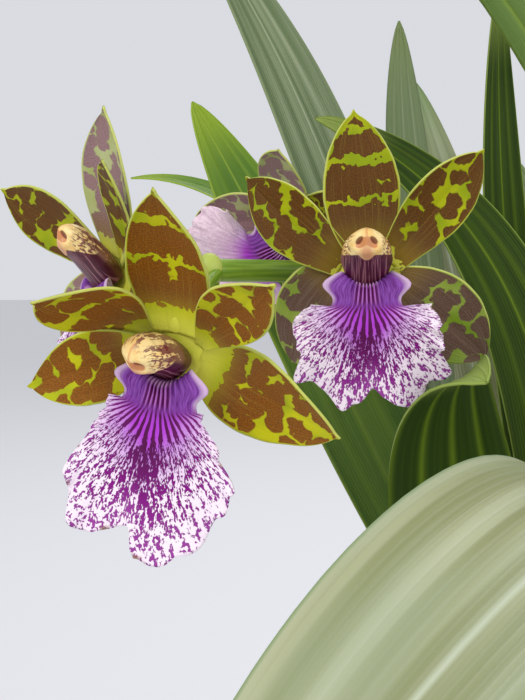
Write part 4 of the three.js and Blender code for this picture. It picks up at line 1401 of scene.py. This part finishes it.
def column_place(p):
    across = SIDE * math.cos(rad(p["turn"])) + FORWARD * math.sin(rad(p["turn"]))
    ahead = FORWARD * math.cos(rad(p["turn"])) - SIDE * math.sin(rad(p["turn"]))

    def rise(s):
        return rad(mix(p["rise"][0], p["rise"][1], s))

    def top(s):
        return turned(UP, ahead, -rise(s))

    middle = spine(Vector((0, -p["front"], p["low"])), p["length"], lambda s: turned(ahead, UP, rise(s)))
    end = middle(1)

    def place(turn, s):
        side, lift = math.cos(turn), math.sin(turn)
        hollow = max(0, (s - p["dome"]) / (1 - p["dome"]))
        tail = max(0, 1 - s / 0.03)
        shape = math.sqrt(max(1 - hollow ** 2, 0)) * math.sqrt(max(1 - tail ** 2, 0))
        half = along(p["at"], p["half"], s) * (1 - 0.34 * max(lift, 0) ** 2 * smooth(s, 0.5, 0.75))
        half *= 1 - 0.16 * smooth(s, 0.6, 0.8)
        height = lift * along(p["at"], p["over"] if lift > 0 else p["under"], s)
        hood = smooth(s, 0.68 - 0.05 * bump(side, 0, 0.3), 0.73)
        swell = 1 + 0.09 * hood * (1 - smooth(s, 0.8, 1))
        point = middle(s) + (across * (side * half) + top(s) * height) * (shape * swell)
        x = side * half * shape
        high = (point - end).dot(top(1))
        if s > 0.75 and lift < 0.9:
            pits = sum(bump(math.hypot((x - at) / 1.15, (high + 1.7) / 1.0), 0, 1) for at in (-1.75, 1.75))
            nose = bump(x, 0, 0.75) * bump(high, -2.2, 2.2)
            muzzle = bump(math.hypot(x / 2.6, (high + 4.4) / 1.2), 0, 1)
            relief = 0.3 * nose - 1.0 * pits + 0.35 * muzzle
            point += turned(ahead, UP, rise(1)) * (relief * smooth(s, 0.75, 0.9))
        point.y = min(point.y, -1.3)
        return point, (x, high)

    return place


class ORCHID_OT_tepals(bpy.types.Operator):
    """Sepals and petals of every bloom, on the pale heart that they grow from"""

    bl_idname = "orchid.tepals"
    bl_label = "Sepals and petals"

    def execute(self, context):
        looks = {look: tepal_finish(look) for look in TEPAL_LOOKS}
        back, heart = tepal_back_finish(), heart_finish()
        seed = 0
        for name, bloom in BLOOMS.items():
            first, second, seconds, bands, _, bare = BLOOM_LOOKS[name]
            piece = Skin()
            for key, pattern in TEPALS.items():
                seed += 1
                traits = (seed * 0.618, bands if key == "dorsal" else 0, bare)
                shape = {**pattern, **bloom[key]}
                piece.sheet(*GRID["tepal"], tepal_place(shape, seed), traits, 1 if key in seconds else 0)
            piece.hang(bloom)
            finishes = [looks[first], looks[second], back, back]
            wall = context.scene.orchid_sizes.tepal_wall
            piece.finish(name + "_petals", name + "_tepals", "tepal", finishes, wall)
            piece = Skin()
            piece.wrap(*GRID["heart"], self.heart)
            piece.hang(bloom, closed=True)
            piece.finish(name + "_heart", name + "_tepals", "tepal", [heart])
        return {"FINISHED"}

    @staticmethod
    def heart(turn, s):
        """A flat round form with the lip's short foot in front."""
        middle = -(RECEPTACLE["front"] + RECEPTACLE["back"]) / 2
        thick = (RECEPTACLE["front"] - RECEPTACLE["back"]) / 2
        r = RECEPTACLE["r"] * math.sin(math.pi * s) ** 0.6 * (1 + 0.15 * max(-math.sin(turn), 0) ** 2)
        x, z = r * math.cos(turn), r * math.sin(turn)
        claw = CLAW["front"] * bump(math.hypot(x / CLAW["half"], (z - CLAW["low"]) / CLAW["tall"]), 0, 1)
        return Vector((x, middle + thick * math.cos(math.pi * s) - claw * smooth(s, 0.5, 0.7), z))


class ORCHID_OT_lips(bpy.types.Operator):
    """The ruffled lip of every bloom"""

    bl_idname = "orchid.lips"
    bl_label = "Lips"

    def execute(self, context):
        finishes = [lip_finish(), lip_back_finish()]
        wall = context.scene.orchid_sizes.lip_wall
        for seed, (name, bloom) in enumerate(BLOOMS.items()):
            *_, faint, _ = BLOOM_LOOKS[name]
            piece = Skin()
            place = lip_place({**LIP, **bloom["lip"]}, seed + 1)
            piece.sheet(*GRID["lip"], place, (seed * 1.7, faint, 0), flip=True)
            piece.hang(bloom)
            piece.finish(name + "_fan", name + "_lip", "lip", finishes, wall, -1)
        return {"FINISHED"}


class ORCHID_OT_columns(bpy.types.Operator):
    """The column of every bloom, with its cap"""

    bl_idname = "orchid.columns"
    bl_label = "Columns"

    def execute(self, context):
        finishes = [column_finish()]
        for name, bloom in BLOOMS.items():
            piece = Skin()
            piece.wrap(*GRID["column"], column_place({**COLUMN, **bloom["column"]}))
            piece.hang(bloom, closed=True)
            piece.finish(name + "_pillar", name + "_column", "column", finishes)
        return {"FINISHED"}


# ---- Stage ----

# The point that the lamps are aimed at, and each lamp's place and width in metres and its share of the power.
LIT = Vector((0, 0, 0.3))
LAMPS = {
    "key": ((-0.7, -0.9, 1.25), 0.7, 1),
    "fill": ((1.0, -0.7, 0.7), 0.9, 0.3),
    "back": ((0.2, 1.1, 1.2), 0.8, 0.5),
}
SKY_TONE = (0.93, 0.95, 1.0, 1)
FLOOR_HALF = 4000
# The camera looks along +Y, tilted down by some degrees. Its place and its near clip are in millimetres.
CAMERA = {"at": (-80, -291.6, 379.7), "tilt": 8, "sensor": 36, "clip": 10}


class ORCHID_OT_stage(bpy.types.Operator):
    """Plain pale floor, soft studio light and the camera"""

    bl_idname = "orchid.stage"
    bl_label = "Stage"

    def execute(self, context):
        scene = context.scene
        stage = scene.orchid_stage
        mesh = bmesh.new()
        bmesh.ops.create_grid(mesh, x_segments=1, y_segments=1, size=FLOOR_HALF)
        floor = made("floor", mesh)
        scene.collection.objects.link(floor)
        floor.data.materials.append(Finish("floor").close(tuple(stage.floor), 0.8))
        floor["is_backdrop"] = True

        world = bpy.data.worlds.new("sky")
        world.use_nodes = True
        background = next(n for n in world.node_tree.nodes if n.type == "BACKGROUND")
        background.inputs["Color"].default_value = SKY_TONE
        background.inputs["Strength"].default_value = stage.sky
        scene.world = world

        for name, (at, size, share) in LAMPS.items():
            light = bpy.data.lights.new(name, "AREA")
            light.shape = "DISK"
            light.size = size
            light.energy = stage.key * share
            lamp = bpy.data.objects.new(name, light)
            scene.collection.objects.link(lamp)
            lamp.location = at
            lamp.rotation_euler = (LIT - Vector(at)).to_track_quat("-Z", "Y").to_euler()

        lens = bpy.data.cameras.new("camera")
        lens.lens = stage.lens
        lens.sensor_width = CAMERA["sensor"]
        lens.sensor_fit = "AUTO"
        lens.clip_start = CAMERA["clip"] * MM
        camera = bpy.data.objects.new("camera", lens)
        scene.collection.objects.link(camera)
        camera.location = Vector(CAMERA["at"]) * MM
        camera.rotation_euler = (rad(90 - CAMERA["tilt"]), 0, 0)
        scene.camera = camera
        scene.view_settings.view_transform = "Standard"
        return {"FINISHED"}


# ---- Panel and running order ----

OPERATORS = (
    ORCHID_OT_pot, ORCHID_OT_bark, ORCHID_OT_bulbs, ORCHID_OT_leaves, ORCHID_OT_stalk,
    ORCHID_OT_tepals, ORCHID_OT_lips, ORCHID_OT_columns, ORCHID_OT_stage,
)
GROUPS = {"orchid_sizes": OrchidSizes, "orchid_colours": OrchidColours, "orchid_stage": OrchidStage}


class ORCHID_PT_panel(bpy.types.Panel):
    """Lists the pieces and the values behind them"""

    bl_label = "Zygopetalum orchid"
    bl_idname = "ORCHID_PT_panel"
    bl_space_type = "VIEW_3D"
    bl_region_type = "UI"
    bl_category = "Orchid"

    def draw(self, context):
        for operator in OPERATORS:
            self.layout.operator(operator.bl_idname)
        for name in GROUPS:
            group = getattr(context.scene, name)
            box = self.layout.box()
            for key in group.bl_rna.properties.keys():
                if key not in ("rna_type", "name"):
                    box.prop(group, key)


def register():
    for kind in (*GROUPS.values(), *OPERATORS, ORCHID_PT_panel):
        bpy.utils.register_class(kind)
    for name, kind in GROUPS.items():
        setattr(bpy.types.Scene, name, PointerProperty(type=kind))


def unregister():
    for name in GROUPS:
        delattr(bpy.types.Scene, name)
    for kind in (ORCHID_PT_panel, *OPERATORS, *GROUPS.values()):
        bpy.utils.unregister_class(kind)


def main():
    register()
    for operator in OPERATORS:
        family, name = operator.bl_idname.split(".")
        getattr(getattr(bpy.ops, family), name)()
    corners = {"cad": CAD_BOX, "visual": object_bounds()}
    {name: [list(corner) for corner in box] for name, box in corners.items()}


if __name__ == "__main__":
    main()
